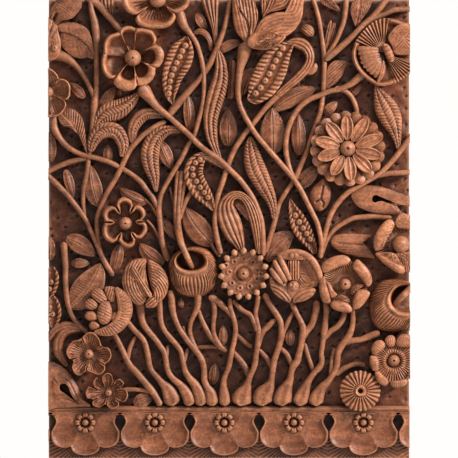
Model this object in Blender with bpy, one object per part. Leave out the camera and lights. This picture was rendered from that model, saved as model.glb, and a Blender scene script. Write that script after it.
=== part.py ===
"""Carved wall plate: one plank of walnut with a deep relief of stems, roots, leaves and flowers, and
a scalloped border along its foot. The real one runs on past this length, so it is cut square all round.

Every place on the front is given in millimetres as u, from the left edge, and v, from the lower edge,
and every height is measured in millimetres from the flat back. The world frame has its origin at the
middle of the back, which lies at y = 0 against the wall, and the carving faces -Y."""

import math

import bpy
import numpy as np

MM = 0.001

# The plank, in millimetres
WIDTH = 360.0
TALL = 458.0
GROUND = 15.0  # the flat bottom of the carving, above the back
FOOT = 9.0  # where the carved forms end inside the plank
SPARE = 6.0  # how far the forms run past the edges before they are cut square
ABOVE_ALL = 70.0  # clear of the highest form

# The border along the foot
SCALLOP_PITCH = 69.3
FIRST_ROSETTE = 36.7
SCALLOP_PLACES = range(-1, 6)  # the first and the last are cut by the plank's edges
ROSETTE_V = 36.0
SCALLOP_CREST = 28.0
SCALLOP_DISH = 24.5
SCALLOP_MIDDLE_V = 28.0
SCALLOP_LEVELS = ((1.01, FOOT), (0.98, 26.5), (0.9, SCALLOP_CREST), (0.45, SCALLOP_DISH))
ROSETTE_REACH = (10.5, 8.0)  # at the middle of a petal and between two
ROSETTE_LEVELS = ((1.0, FOOT), (0.85, 28.5))
ROSETTE_DISH = 26.0
BOSS_RADIUS = 3.2
BOSS_LEVELS = ((1.0, 20.0), (0.8, 29.0))
BOSS_TOP = 30.0
RAIL_V = (45.0, 52.4)
RAIL_CREST = 26.0
BED_V = 25.0
BED_CREST = 18.0
SIDE_LOBE = (19.5, 26.0, 15.0)  # offset, v and radius of the two side lobes
LOW_LOBE = (0.0, 19.0, 15.5)
KEYHOLE_HALF = ((34.6, 46.5), (31.2, 44.0), (29.7, 39.5), (30.6, 35.5))

# How finely a route is cut into straight lengths: a new one for each so many millimetres or degrees
LONG_STEP = 24.0
TURN_STEP = 26.0
KEPT_SHARE = 0.5  # of the triangles, once the small ones where forms meet are merged

# Stems and roots: the height of the crest at each end, then the points u, v, width of the route
STEMS = {
    "left_tall": (31, 27, ((41, 458, 4), (47, 430, 8), (48, 405, 6), (48, 383, 6), (45.5, 355, 7.5),
                           (43.5, 328, 6), (40, 297, 4.5), (35, 262, 5), (37, 240, 4.5))),
    "top_left": (31, 31, ((34, 461, 8), (52, 451, 8), (65, 435, 7), (74, 422, 7))),
    "from_left_flower": (28, 27, ((2, 402, 10), (20, 397, 7), (35, 382, 5), (46, 359, 5))),
    "from_top_flower": (31, 30, ((129, 447, 11), (135, 432, 9), (149, 409, 4.5), (155, 378, 4.5),
                                 (151, 343, 5), (140, 313, 5), (118, 277, 5), (110, 250, 6.5))),
    "crossing": (32, 30, ((182, 461, 5), (174, 425, 5), (160, 392, 7), (143, 370, 7), (128, 353, 8.5),
                          (119, 341, 7))),
    "lotus": (37, 34, ((195, 412, 15), (190, 382, 7), (190, 356, 5), (206, 325, 5), (235, 290, 5),
                       (258, 255, 5), (271, 225, 5), (271, 201, 5.5))),
    "long_curl": (33, 30, ((237, 411, 6), (250, 419, 6), (263, 409, 6), (260, 390, 6), (235, 368, 6),
                           (207, 338, 6), (186, 311, 6), (172, 272, 6), (166, 238, 6), (172, 204, 6))),
    "thin_middle": (28, 30, ((263, 461, 5), (272, 425, 4.5), (275, 395, 5), (274, 362, 5),
                             (266, 332, 5), (254, 298, 5), (240, 271, 5), (228, 245, 6),
                             (215, 205, 6))),
    "top_right_short": (30, 30, ((297, 461, 6), (294, 435, 5), (285, 413, 4.5), (275, 399, 4.5))),
    "top_right": (33, 33, ((338, 461, 8), (321, 438, 7), (300, 418, 7), (276, 397, 6.5))),
    "right_feeder": (31, 32, ((362, 448, 6), (335, 443, 6), (313, 433, 6))),
    "right_arc": (34, 33, ((312, 381, 9), (296, 370, 6.5), (270, 362, 6), (250, 350, 6), (238, 325, 6),
                           (237.5, 300, 5.5), (246, 277, 5))),
    "daisy_feeder": (28, 28, ((290, 370, 6), (303, 357, 5), (307, 334, 5))),
    "right_sweep": (34, 32, ((362, 322, 6), (345, 300, 6), (318, 277, 6), (290, 257, 6), (276, 226, 6),
                             (270, 201, 6))),
    "right_twig": (30, 29, ((362, 285, 6), (330, 284, 6))),
    "left_sweep": (31, 30, ((4, 347, 10), (8, 324, 7), (24, 307, 5), (55, 298, 5), (82, 284, 5),
                            (108, 251, 6))),
    "left_twig": (26, 26, ((-4, 285, 6), (18, 295, 5.5), (40, 299, 5))),
    "inner_left": (32, 28, ((116, 335, 6), (94, 322, 5.5), (77, 300, 5.5), (60, 268, 5.5), (49, 236, 5),
                            (52, 206, 6), (66, 180, 6))),
    "main_diagonal": (37, 32, ((90, 374, 17), (105, 355, 10), (122, 339, 6), (160, 305, 5.5),
                               (190, 279, 6), (208, 250, 5.5), (214, 204, 6.5))),
    "left_diagonal": (31, 31, ((-3, 284, 6), (18, 264, 5.5), (36, 240, 4.5), (50, 210, 5))),
    "far_left": (31, 28, ((15, 215, 8), (17, 182, 6), (19, 157, 5.5), (27, 138, 5), (39, 125, 5))),
    "fork_trunk": (31, 31, ((110, 254, 7), (112, 228, 6.5), (119, 198, 7))),
    "strand": (31, 33, ((131, 284, 9), (129, 250, 9), (131, 222, 6), (144, 190, 6))),
    "strand_branch": (30, 30, ((143, 268, 6), (135, 251, 5), (131, 236, 5))),
    "low_arc": (28, 28, ((339, 240, 6), (310, 241, 5.5), (288, 231, 5), (273, 203, 5))),
    "dahlia": (30, 30, ((62, 128, 6), (72, 112, 6), (82, 92, 7), (98, 74, 8), (112, 51, 6))),
    "dahlia_branch": (26, 28, ((87, 122, 4.5), (80, 108, 5), (79, 99, 5))),
    "low_bridge": (24, 24, ((106, 66, 6), (76, 69, 5))),
}
ROOTS = {
    "root_1": (29, 32, ((77, 139, 6), (92, 122, 6), (100, 99, 6), (112, 78, 7.5), (122, 62, 15.5),
                        (124, 51, 16))),
    "root_2": (30, 32, ((91, 156, 9), (96, 132, 7), (114, 109, 6), (120, 86, 6), (134, 70, 9),
                        (141, 51, 12.5))),
    "root_3": (30, 32, ((110, 158, 7), (112, 137, 5.5), (131, 110, 6), (136, 89, 6.5), (148, 70, 11),
                        (152, 51, 13))),
    "root_4": (30, 32, ((121, 168, 7), (126, 140, 5.5), (146, 109, 6.5), (155, 84, 6.5), (163, 60, 12),
                        (164, 51, 13))),
    "root_4_arm": (30, 30, ((149, 165, 8), (141, 131, 5), (147, 109, 6))),
    "root_5": (30, 32, ((181, 160, 5.5), (186.5, 128, 5.5), (181, 97, 6), (174.5, 74, 7),
                        (176, 51, 11.5))),
    "root_5_left": (26, 27, ((149, 149, 5), (161, 123, 6), (179, 106, 6))),
    "root_5_fork": (28, 27, ((163, 163, 6), (164.5, 128, 5), (173, 111, 6))),
    "root_5_right": (30, 29, ((160, 162, 8), (174, 152, 7), (187, 138, 5.5))),
    "root_5_low": (22, 22, ((148, 110.5, 5), (178, 111, 5))),
    "root_6": (30, 32, ((209, 162, 6), (207, 141, 5), (208, 112, 6), (200, 80, 6.5), (193, 62, 17),
                        (192, 51, 19))),
    "root_6_left": (30, 30, ((185, 158, 5), (200, 144, 5.5), (209, 121, 6))),
    "root_6_right": (28, 29, ((225, 138, 6), (208, 112, 6))),
    "root_6_low": (26, 26, ((180, 111, 5), (200, 85, 6.5))),
    "root_6_twig": (23, 23, ((203, 111, 5), (184, 126, 5))),
    "root_7": (30, 32, ((215, 164, 7), (231, 136, 6.5), (228, 107, 6.5), (222, 77, 7.5), (214, 62, 18),
                        (213, 51, 18))),
    "root_7_arm": (26, 28, ((245, 147, 5), (232, 119, 5.5))),
    "root_7_low": (25, 26, ((209, 109, 5), (223, 91, 6.5))),
    "root_8": (30, 32, ((241, 160, 6), (253, 128, 7.5), (248, 98, 7), (239, 73, 9), (233, 58, 17),
                        (233, 51, 17))),
    "root_8_right": (30, 29, ((267, 157, 8), (264, 138, 7), (253, 121, 7.5))),
    "root_8_low": (25, 26, ((230, 111, 5), (243, 91, 6.5))),
    "root_9": (30, 32, ((276, 160, 6), (275, 128, 7), (272, 96, 6.5), (258, 74, 7.5), (251, 58, 14.5),
                        (250, 51, 14.5))),
    "root_9_arm": (28, 29, ((296, 149, 6.5), (288, 132, 6.5), (275, 120, 6))),
    "root_9_low": (24, 25, ((255, 114, 5), (264, 89, 5.5))),
    "root_10": (30, 32, ((303, 150, 5), (298, 121, 8), (288, 98, 6.5), (275, 73, 8), (267, 58, 14.5),
                         (266, 51, 14.5))),
    "root_10_arm": (31, 30, ((330, 125, 8), (312, 119, 6.5), (295, 116, 7))),
    "root_10_low": (25, 27, ((302, 93, 6), (286, 85, 6.5))),
}

# Leaves: base u, v, tip u, v, width, sideways bend, height of the crest
LEAVES = (
    (35, 455, 3, 433, 24, 4, 29), (47, 402, 8, 428, 24, 4, 28), (36, 360, 21, 375, 9, 0, 26),
    (166, 412, 160, 464, 17, 0, 28), (182, 362, 183, 399, 10, 0, 24), (170, 406, 193, 416, 9, 2, 27),
    (192, 366, 204, 389, 10, 2, 27), (291, 446, 271, 463, 9, 0, 25), (276, 406, 284, 437, 9, 0, 26),
    (312, 463, 307, 430, 18, 0, 27), (279, 369, 297, 397, 14, 3, 27), (38, 304, 17, 348, 17, -3, 30),
    (51, 348, 66, 370, 12, 0, 24), (59, 296, 59, 312, 9, 0, 24), (17, 288, 25, 261, 10, 0, 24),
    (50, 253, 42, 292, 17, 2, 27), (139, 360, 142, 323, 11, 0, 25), (112, 315, 122, 290, 13, 0, 26),
    (179, 313, 179, 348, 17, 0, 25), (224, 305, 222, 349, 24, 0, 27), (226, 349, 267, 368, 15, 3, 26),
    (250, 304, 249, 344, 14, 0, 25), (250, 272, 268, 292, 13, 0, 25), (18, 220, 45, 203, 16, 2, 27),
    (24, 195, 40, 195, 9, 0, 23), (22, 153, 52, 196, 27, -4, 29), (71, 213, 64, 183, 12, 0, 24),
    (97, 255, 72, 269, 12, 3, 25), (115, 236, 128, 219, 9, 0, 24), (164, 214, 136, 251, 22, 3, 27),
    (115, 195, 91, 214, 15, 3, 27), (219, 200, 245, 224, 21, 3, 27), (283, 215, 326, 212, 23, 0, 26),
    (3, 244, 13, 259, 16, 0, 26), (174, 115, 174, 131, 8, 0, 20), (165, 76, 166, 93, 9, 0, 20),
    (241, 115, 241, 127, 9, 0, 20), (86, 56, 103, 61, 13, 0, 26), (290, 92, 320, 92, 9, 4, 22),
    (334, 122, 362, 124, 12, 0, 27), (272, 245, 271, 280, 23, 0, 30), (335, 66, 335, 49, 15, 0, 24),
    (349, 66, 354, 49, 17, 0, 24), (0, 395, 8, 437, 12, 0, 27),
)

# Broad ribbons, pods and lobes, with a ridge along their middle: crest, then the points u, v, width
RIBBONS = {
    "rope_leaf_long": (34, ((168, 410, 4), (172, 388, 14), (166, 360, 17), (162, 334, 13),
                            (170, 300, 5))),
    "rope_leaf_left": (32, ((47, 332, 5), (60, 343, 17), (76, 353, 17), (90, 366, 4))),
    "hook_1": (32, ((43, 304, 8), (50, 325, 14), (64, 330, 14), (75, 315, 11), (72, 299, 4))),
    "hook_2": (31, ((114, 343, 7), (97, 345, 9), (86, 334, 7), (84, 320, 4))),
    "hook_3": (33, ((130, 327, 8), (112, 324, 15), (102, 305, 14), (107, 265, 4))),
    "pod_1": (34, ((123, 353, 9), (121, 376, 19), (130, 402, 19), (138, 421, 6))),
    "pod_2": (37, ((207, 356, 16), (216, 376, 27), (227, 399, 22), (240, 414, 8))),
    "pod_3": (34, ((171, 298, 5), (150, 300, 12), (143, 284, 18), (155, 265, 15), (166, 249, 5))),
    "pod_4": (32, ((242, 257, 4), (247, 241, 15), (257, 222, 15), (267, 205, 6))),
    "edge_pod_high": (28, ((3, 190, 8), (3, 175, 14), (0, 161, 8))),
    "edge_pod_low": (28, ((2, 160, 8), (4, 146, 14), (5, 133, 8))),
    "rope_leaf_right": (33, ((326, 372, 4), (336, 353, 22), (346, 332, 21), (347, 311, 5))),
    "rope_leaf_middle": (34, ((201, 320, 4), (204, 292, 17), (218, 267, 20), (224, 241, 5))),
    "edge_curl": (28, ((38, 126, 6), (16, 127, 9), (9, 112, 9), (18, 94, 7))),
    "edge_curl_high": (27, ((-5, 117, 7), (10, 130, 8), (30, 130, 6))),
    "spoon_lobe": (34, ((192, 206, 5), (182, 232, 22), (180, 253, 19), (185, 264, 7))),
    "spoon_limb": (35, ((181, 262, 7), (195, 260, 9), (203, 240, 14), (208, 206, 6))),
    "eye_leaf_high": (30, ((303, 262, 6), (318, 266, 10), (338, 263, 9), (363, 256, 9))),
    "eye_leaf_low": (30, ((304, 260, 6), (316, 254, 14), (336, 250, 9), (352, 245, 4))),
    "dahlia_crescent": (37, ((61, 171, 7), (73, 160, 13), (76, 142, 13), (66, 130, 12), (46, 127, 5))),
    "dahlia_heart": (37, ((57, 157, 6), (56, 146, 14), (58, 134, 6))),
    "dahlia_petal_1": (34, ((41, 169, 10), (56, 156, 10))),
    "dahlia_petal_2": (33, ((37, 155, 10), (52, 152, 8))),
    "dahlia_petal_3": (33, ((37, 143, 9), (52, 143, 8))),
    "dahlia_petal_4": (33, ((41, 133, 9), (54, 137, 8))),
    "lotus_far_left": (36, ((199, 410, 6), (189, 432, 9), (184, 463, 5))),
    "lotus_left": (38, ((203, 414, 8), (200, 438, 15), (197, 463, 17))),
    "lotus_heart": (40, ((208, 412, 8), (214, 440, 12), (215, 463, 10))),
    "lotus_right": (38, ((208, 411, 8), (222, 436, 22), (234, 463, 28))),
    "lotus_far_right": (36, ((205, 410, 8), (238, 429, 17), (256, 452, 5))),
    "lotus_front": (43, ((196, 416, 5), (212, 416, 15), (238, 422, 5))),
    "corner_scroll": (30, ((-4, 87, 20), (18, 78, 20), (31, 62, 14), (43, 52, 6))),
    "corner_scroll_low": (29, ((-4, 67, 18), (14, 60, 12), (32, 52, 8))),
    "fan_core": (44, ((334, 413, 4), (339, 403, 9), (344, 392, 4))),
}

# Flowers: centre u, v, radius, lobes, angle of the first lobe, rim crest, dish, ball radius, ball top
FLOWERS = {
    "top_flower": (109, 457, 32, 6, 90, 42, 33, 8.5, 40),
    "upper_left_flower": (84, 399, 30, 7, 90, 43, 34, 8.5, 42),
    "left_edge_flower": (1, 365, 22, 6, 70, 38, 30, 5, 36),
    "thick_rim_flower": (77, 234.5, 24.5, 6, 92, 42, 32, 6.5, 40),
    "daisy": (298, 309, 33, 10, 90, 41, 34, 8, 42),
    "bead_ring_flower": (195, 184, 27, 15, 90, 41, 30, 5.5, 39),
    "small_left_flower": (41, 104, 22, 5, 78, 41, 31, 5, 38),
    "low_left_flower": (60, 67, 20.5, 7, 95, 40, 31, 4, 37),
    "right_edge_flower": (351, 214, 31, 5, 160, 42, 31, 8.5, 42),
    "smooth_flower": (295.5, 174, 29, 5, 90, 41, 31, 5.5, 40),
    "low_right_flower": (345, 98, 27, 8, 45, 40, 31, 6, 39),
}

# Plain round forms: centre u, v, half width, half height, crest at the edge, depth and size of the dish
ROUNDS = {
    "daisy_back": (298, 309, 37, 37, 36, 38, 0.5),
    "fan_flower": (336, 405, 33, 33, 39, 42, 0.35),
    "striped_bud": (97, 177, 23, 24, 37, 43, 0.4),
    "shell_flower": (246, 181, 25, 26, 36, 40, 0.35),
    "pleated_disc": (310.5, 68.5, 20, 19, 36, 40, 0.3),
}
CUPS = {
    "left_cup": (144.5, 186, 26, 25, 142, 197, 16, 11),
    "right_cup": (349, 152, 30, 27, 353, 160, 14, 15),
}

# Sections of a stem and of a ridged leaf: share of the half width, share of the way from foot to crest
STEM_SECTION = ((1.2, 0.0), (0.68, 1.0), (-0.68, 1.0), (-1.2, 0.0))
RIDGE_SECTION = ((1.12, 0.0), (0.92, 0.78), (0.0, 1.0), (-0.92, 0.78), (-1.12, 0.0))
RIBBON_FALL = 4.0  # from the middle of a ribbon to its ends
LEAF_FALL = 3.0
LEAF_WAY = (0.0, 0.22, 0.52, 0.8, 1.0)  # shares of a leaf's length, and its width at each
LEAF_SWELL = (0.22, 0.82, 1.0, 0.72, 0.12)

# Shares of a flower's radius: at its foot, its rim, the edge of its dish, and in the notch of two lobes
FLOWER_FOOT = 1.02
FLOWER_RIM = 0.9
FLOWER_DISH = 0.5
DEEP_NOTCH = 0.78
SHALLOW_NOTCH = 0.9
MANY_LOBES = 9  # from this many lobes on, the notches are shallow
BALL_ROOT = 6.0  # how far the ball at the heart reaches under the dish
BALL_SHOULDER = 2.0

# Share of the radius of a round form at its foot and its edge
ROUND_FOOT = 1.02
ROUND_EDGE = 0.94

# The cups: heights of the bulge, the rim of the mouth and the floor, and shares of the radii there
CUP_BULGE = 30.0
CUP_RIM = 43.0
CUP_FLOOR = 26.0
CUP_BULGE_SHARE = 0.96
CUP_LIP_SHARE = 1.12
CUP_FLOOR_SHARE = 0.8

WALNUT = (0.235, 0.105, 0.058, 1.0)


def clear_scene():
    """Removes whatever the scene holds."""
    for other in list(bpy.data.objects):
        bpy.data.objects.remove(other, do_unlink=True)


def curve_through(points):
    """A smooth curve through the points, as many small steps: cubic pieces whose slope at each point is
    that of the chord between its neighbours."""
    p = np.array(points, float)
    slope = np.gradient(p, axis=0)
    t = np.linspace(0.0, 1.0, 16, endpoint=False)[:, None]
    to_next = 3 * t**2 - 2 * t**3
    leaving = t**3 - 2 * t**2 + t
    arriving = t**3 - t**2
    pieces = [
        (1 - to_next) * here + leaving * here_slope + to_next * there + arriving * there_slope
        for here, there, here_slope, there_slope in zip(p[:-1], p[1:], slope[:-1], slope[1:])
    ]
    return np.vstack(pieces + [p[-1:]])


def stations(points):
    """A few stations along the curve, closer together where it turns."""
    fine = curve_through(points)
    step = np.diff(fine[:, :2], axis=0)
    length = np.linalg.norm(step, axis=1)
    heading = np.unwrap(np.arctan2(step[:, 1], step[:, 0]))
    turn = np.abs(np.gradient(np.degrees(heading)))
    effort = np.concatenate([[0.0], np.cumsum(length / LONG_STEP + turn / TURN_STEP)])
    count = max(2, math.ceil(effort[-1]))
    at = np.linspace(0.0, effort[-1], count + 1)
    return np.column_stack([np.interp(at, effort, fine[:, k]) for k in range(fine.shape[1])])


def swept_body(route, crests, section):
    """A closed body along the route. The section is a list of (share of the half width, share of the way
    from the foot to the crest), from one foot to the other."""
    centre = route[:, :2]
    along = np.gradient(centre, axis=0)
    along /= np.linalg.norm(along, axis=1)[:, None]
    across = np.column_stack([-along[:, 1], along[:, 0]])
    rings = []
    for place, side, width, crest in zip(centre, across, route[:, 2], crests):
        for share, up in section:
            rings.append((*(place + side * share * width / 2), FOOT + (crest - FOOT) * up))
    count = len(section)
    last = (len(route) - 1) * count
    faces = [tuple(reversed(range(count))), tuple(range(last, last + count))]
    for k in range(len(route) - 1):
        for j in range(count):
            a = k * count + j
            b = k * count + (j + 1) % count
            faces.append((a, b, b + count, a + count))
    return np.array(rings), faces


def stem_body(first_crest, last_crest, points):
    route = stations(points)
    return swept_body(route, np.linspace(first_crest, last_crest, len(route)), STEM_SECTION)


def ribbon_body(crest, points):
    """A broad ribbon that falls a little at both ends."""
    route = stations(points)
    way = np.linspace(-1.0, 1.0, len(route))
    return swept_body(route, crest - RIBBON_FALL * way**4, RIDGE_SECTION)


def leaf_body(base_u, base_v, tip_u, tip_v, width, bend, crest):
    """A pointed leaf: its spine is an arc with the given bend, and its width swells and tapers."""
    base = np.array((base_u, base_v), float)
    tip = np.array((tip_u, tip_v), float)
    way = np.array(LEAF_WAY)
    along = (tip - base) / np.linalg.norm(tip - base)
    side = np.array((-along[1], along[0]))
    spine = base + np.outer(way, tip - base) + np.outer(4 * way * (1 - way), side * bend)
    crests = crest - LEAF_FALL * (2 * way - 1) ** 2
    return swept_body(np.column_stack([spine, width * np.array(LEAF_SWELL)]), crests, RIDGE_SECTION)


def stacked_body(u, v, rings, top):
    """A closed body of rings round a centre. Each ring is (x offsets, y offsets, height), and the last is
    capped by a point at the given height."""
    count = len(rings[0][0])
    layers = [np.column_stack([u + x, v + y, np.full(count, h)]) for x, y, h in rings]
    points = np.vstack(layers + [np.array([[u, v, top]])])
    faces = [tuple(reversed(range(count)))]
    for k in range(len(rings) - 1):
        for j in range(count):
            a = k * count + j
            b = k * count + (j + 1) % count
            faces.append((a, b, b + count, a + count))
    last = (len(rings) - 1) * count
    tip = len(points) - 1
    faces += [(last + j, last + (j + 1) % count, tip) for j in range(count)]
    return points, faces


def round_rings(half_width, half_height, sides, levels):
    """Rings of an oval, each at a share of its size and a height."""
    angle = np.arange(sides) * math.tau / sides
    x = half_width * np.cos(angle)
    y = half_height * np.sin(angle)
    return [(x * share, y * share, height) for share, height in levels]


def flower_bodies(u, v, radius, lobes, first, rim, dish, ball, ball_top):
    """A lobed flower head that is dished inside its rim, and the ball at its heart."""
    few = lobes < MANY_LOBES
    per_lobe = 3 if few else 2
    count = lobes * per_lobe
    joint = np.arange(count) % per_lobe == 0
    angle = math.radians(first) + (np.arange(count) / per_lobe - 0.5) * math.tau / lobes
    reach = radius * np.where(joint, DEEP_NOTCH if few else SHALLOW_NOTCH, 1.0)
    x = reach * np.cos(angle)
    y = reach * np.sin(angle)
    levels = ((FLOWER_FOOT, FOOT), (FLOWER_RIM, rim), (FLOWER_DISH, dish))
    head = stacked_body(u, v, [(x * share, y * share, height) for share, height in levels], dish)
    levels = ((1.05, dish - BALL_ROOT), (0.9, ball_top - BALL_SHOULDER))
    heart = stacked_body(u, v, round_rings(ball, ball, 8, levels), ball_top)
    return head, heart


def round_body(u, v, half_width, half_height, edge, top, share):
    """An oval form whose face rises or falls from its edge to a flat middle."""
    levels = ((ROUND_FOOT, FOOT), (ROUND_EDGE, edge), (share, top))
    return stacked_body(u, v, round_rings(half_width, half_height, 16, levels), top)


def cup_body(u, v, half_width, half_height, mouth_u, mouth_v, mouth_half_width, mouth_half_height):
    """A bowl seen from the side of its mouth: a round body with an oval hollow off its centre."""
    wall = round_rings(half_width, half_height, 14, ((ROUND_FOOT, FOOT), (CUP_BULGE_SHARE, CUP_BULGE)))
    levels = ((CUP_LIP_SHARE, CUP_RIM), (CUP_FLOOR_SHARE, CUP_FLOOR))
    mouth = round_rings(mouth_half_width, mouth_half_height, 14, levels)
    du = mouth_u - u
    dv = mouth_v - v
    moved = [(x + du, y + dv, height) for x, y, height in mouth]
    points, faces = stacked_body(u, v, wall + moved, CUP_FLOOR - 1)
    points[-1, :2] = (mouth_u, mouth_v)
    return points, faces


def block_body(low, high):
    """A plain block between two corners."""
    (a, b, c), (d, e, f) = low, high
    points = np.array([(x, y, z) for z in (c, f) for x, y in ((a, b), (d, b), (d, e), (a, e))], float)
    faces = [(3, 2, 1, 0), (4, 5, 6, 7), (0, 1, 5, 4), (1, 2, 6, 5), (2, 3, 7, 6), (3, 0, 4, 7)]
    return points, faces


def arc(offset, v, radius, first, last, count):
    """Points on an arc, from one angle to another in degrees."""
    angle = np.radians(np.linspace(first, last, count))
    return [(offset + radius * math.cos(a), v + radius * math.sin(a)) for a in angle]


def scallop_outline():
    """The outline of a scallop: the halves of two keyholes, two side lobes and a low lobe."""
    right = list(KEYHOLE_HALF) + arc(*SIDE_LOBE, 12, -108, 5) + arc(*LOW_LOBE, -28, -90, 3)
    left = [(-x, y) for x, y in right[-2::-1]]
    return np.array(right + left)


def scallop_bodies(centre):
    """A scallop with a chamfered edge and a dished face, and the rosette at its middle."""
    outline = scallop_outline()
    x = outline[:, 0]
    y = outline[:, 1] - SCALLOP_MIDDLE_V
    rings = [(x * share, y * share, height) for share, height in SCALLOP_LEVELS]
    plate = stacked_body(centre, SCALLOP_MIDDLE_V, rings, SCALLOP_DISH)
    steps = np.arange(16)
    angle = steps * math.tau / 16
    reach = np.where(steps % 2 == 0, *ROSETTE_REACH)
    x = reach * np.cos(angle)
    y = reach * np.sin(angle)
    rings = [(x * share, y * share, height) for share, height in ROSETTE_LEVELS]
    rosette = stacked_body(centre, ROSETTE_V, rings, ROSETTE_DISH)
    rings = round_rings(BOSS_RADIUS, BOSS_RADIUS, 6, BOSS_LEVELS)
    boss = stacked_body(centre, ROSETTE_V, rings, BOSS_TOP)
    return plate, rosette, boss


def field_forms():
    """Every form in the field above the border, each with its name."""
    for name, row in {**STEMS, **ROOTS}.items():
        yield name, stem_body(*row)
    for name, row in RIBBONS.items():
        yield name, ribbon_body(*row)
    for k, row in enumerate(LEAVES):
        yield f"leaf_{k}", leaf_body(*row)
    for name, row in ROUNDS.items():
        yield name, round_body(*row)
    for name, row in CUPS.items():
        yield name, cup_body(*row)
    for name, row in FLOWERS.items():
        head, heart = flower_bodies(*row)
        yield name, head
        yield name + "_heart", heart


def border_forms():
    """The rail, the low bed under the scallops, and the scallops themselves, each with its name."""
    left = -SPARE
    right = WIDTH + SPARE
    yield "rail", block_body((left, RAIL_V[0], FOOT), (right, RAIL_V[1], RAIL_CREST))
    yield "bed", block_body((left, -SPARE, FOOT), (right, BED_V, BED_CREST))
    for k in SCALLOP_PLACES:
        plate, rosette, boss = scallop_bodies(FIRST_ROSETTE + k * SCALLOP_PITCH)
        yield f"scallop_{k}", plate
        yield f"rosette_{k}", rosette
        yield f"boss_{k}", boss


def to_world(points):
    """From u, v, height in millimetres to the world frame in metres."""
    u, v, height = points.T
    return np.column_stack([u - WIDTH / 2, -height, v - TALL / 2]) * MM


def mesh_object(name, body, collection):
    """One object that holds this closed body, with its faces turned outwards."""
    points, faces = body
    world = to_world(points)
    mesh = bpy.data.meshes.new(name)
    mesh.from_pydata(world.tolist(), [], outward(world, triangles(faces)))
    mesh.validate()
    made = bpy.data.objects.new(name, mesh)
    collection.objects.link(made)
    return made


def triangles(faces):
    """The faces cut into triangles, because a four-sided one here is seldom flat."""
    return [(face[0], face[j], face[j + 1]) for face in faces for j in range(1, len(face) - 1)]


def outward(points, faces):
    """The faces, all reversed if they enclose a negative volume."""
    middle = points.mean(axis=0)
    volume = 0.0
    for a, b, c in faces:
        volume += np.dot(points[a] - middle, np.cross(points[b] - middle, points[c] - middle))
    return faces if volume > 0 else [face[::-1] for face in faces]


def helper(name, body, collection):
    """An object that only shapes the part."""
    made = mesh_object(name, body, collection)
    made.hide_render = True
    made.display_type = "WIRE"
    return made


def walnut():
    """The material of the whole plate."""
    made = bpy.data.materials.new("walnut")
    made.use_nodes = True
    shader = made.node_tree.nodes["Principled BSDF"]
    shader.inputs["Base Color"].default_value = WALNUT
    shader.inputs["Roughness"].default_value = 0.5
    shader.inputs["Metallic"].default_value = 0.0
    return made


def carving_collection(scene_collection):
    """Every carved form as its own closed helper, in one collection."""
    collection = bpy.data.collections.new("carving")
    scene_collection.children.link(collection)
    for forms in (field_forms(), border_forms()):
        for name, body in forms:
            helper(name, body, collection)
    return collection


def build():
    clear_scene()
    scene_collection = bpy.context.scene.collection
    plank = block_body((-SPARE, -SPARE, 0.0), (WIDTH + SPARE, TALL + SPARE, GROUND))
    panel = mesh_object("carved_panel", plank, scene_collection)
    join = panel.modifiers.new("carved forms", "BOOLEAN")
    join.operation = "UNION"
    join.operand_type = "COLLECTION"
    join.collection = carving_collection(scene_collection)
    join.solver = "EXACT"
    fewer = panel.modifiers.new("fewer faces", "DECIMATE")
    fewer.ratio = KEPT_SHARE
    wanted = block_body((0, 0, -SPARE), (WIDTH, TALL, ABOVE_ALL))
    cut = panel.modifiers.new("square edges", "BOOLEAN")
    cut.operation = "INTERSECT"
    cut.object = helper("square_cut", wanted, scene_collection)
    cut.solver = "EXACT"
    panel.data.materials.append(walnut())


build()
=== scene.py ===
"""Looks of the carved wall plate: the whole deep relief as fine surfaces, cut from one plank of walnut.

Every place on the front is u and v in millimetres, from the left edge and from the lower edge, and every height
is measured in millimetres from the flat back. Each form is a closed surface worked out on a grid of two
parameters, and forms of one kind are gathered into one piece."""

import math

import bmesh
import bpy
import numpy as np
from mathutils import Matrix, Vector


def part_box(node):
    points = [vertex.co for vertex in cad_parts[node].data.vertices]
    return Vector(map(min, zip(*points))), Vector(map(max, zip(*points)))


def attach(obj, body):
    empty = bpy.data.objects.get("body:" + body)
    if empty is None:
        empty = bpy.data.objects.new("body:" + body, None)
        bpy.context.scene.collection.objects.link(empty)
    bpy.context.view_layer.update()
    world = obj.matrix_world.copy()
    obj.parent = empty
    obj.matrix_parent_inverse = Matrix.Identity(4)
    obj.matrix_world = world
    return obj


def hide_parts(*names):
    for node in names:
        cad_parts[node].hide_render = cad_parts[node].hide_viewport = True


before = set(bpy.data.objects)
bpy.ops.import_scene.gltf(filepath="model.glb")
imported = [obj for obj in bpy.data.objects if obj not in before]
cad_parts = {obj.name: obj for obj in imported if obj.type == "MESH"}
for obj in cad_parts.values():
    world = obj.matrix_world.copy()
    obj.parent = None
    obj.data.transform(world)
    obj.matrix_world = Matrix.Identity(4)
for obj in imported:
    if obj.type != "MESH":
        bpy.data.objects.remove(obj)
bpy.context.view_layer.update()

MM = 0.001
TAU = math.tau
LOW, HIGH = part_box("carved_panel")
WIDTH = (HIGH.x - LOW.x) / MM
TALL = (HIGH.z - LOW.z) / MM
BACK = HIGH.y

# Heights above the back, in millimetres
GROUND = 15.0
FOOT = 13.0  # where every form ends inside the plank

# The sides of a form: share of its half width, share of the way down from its edge to its foot
UNDERCUT = ((0.975, 0.12), (0.76, 0.46), (0.6, 1.0))


# Grids, shells and pieces

def to_world(points):
    """Places (u, v, height) in millimetres as points of the frame, in metres."""
    u, v, height = np.moveaxis(points, -1, 0)
    return np.stack([LOW.x + u * MM, BACK - height * MM, LOW.z + v * MM], axis=-1)


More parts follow.
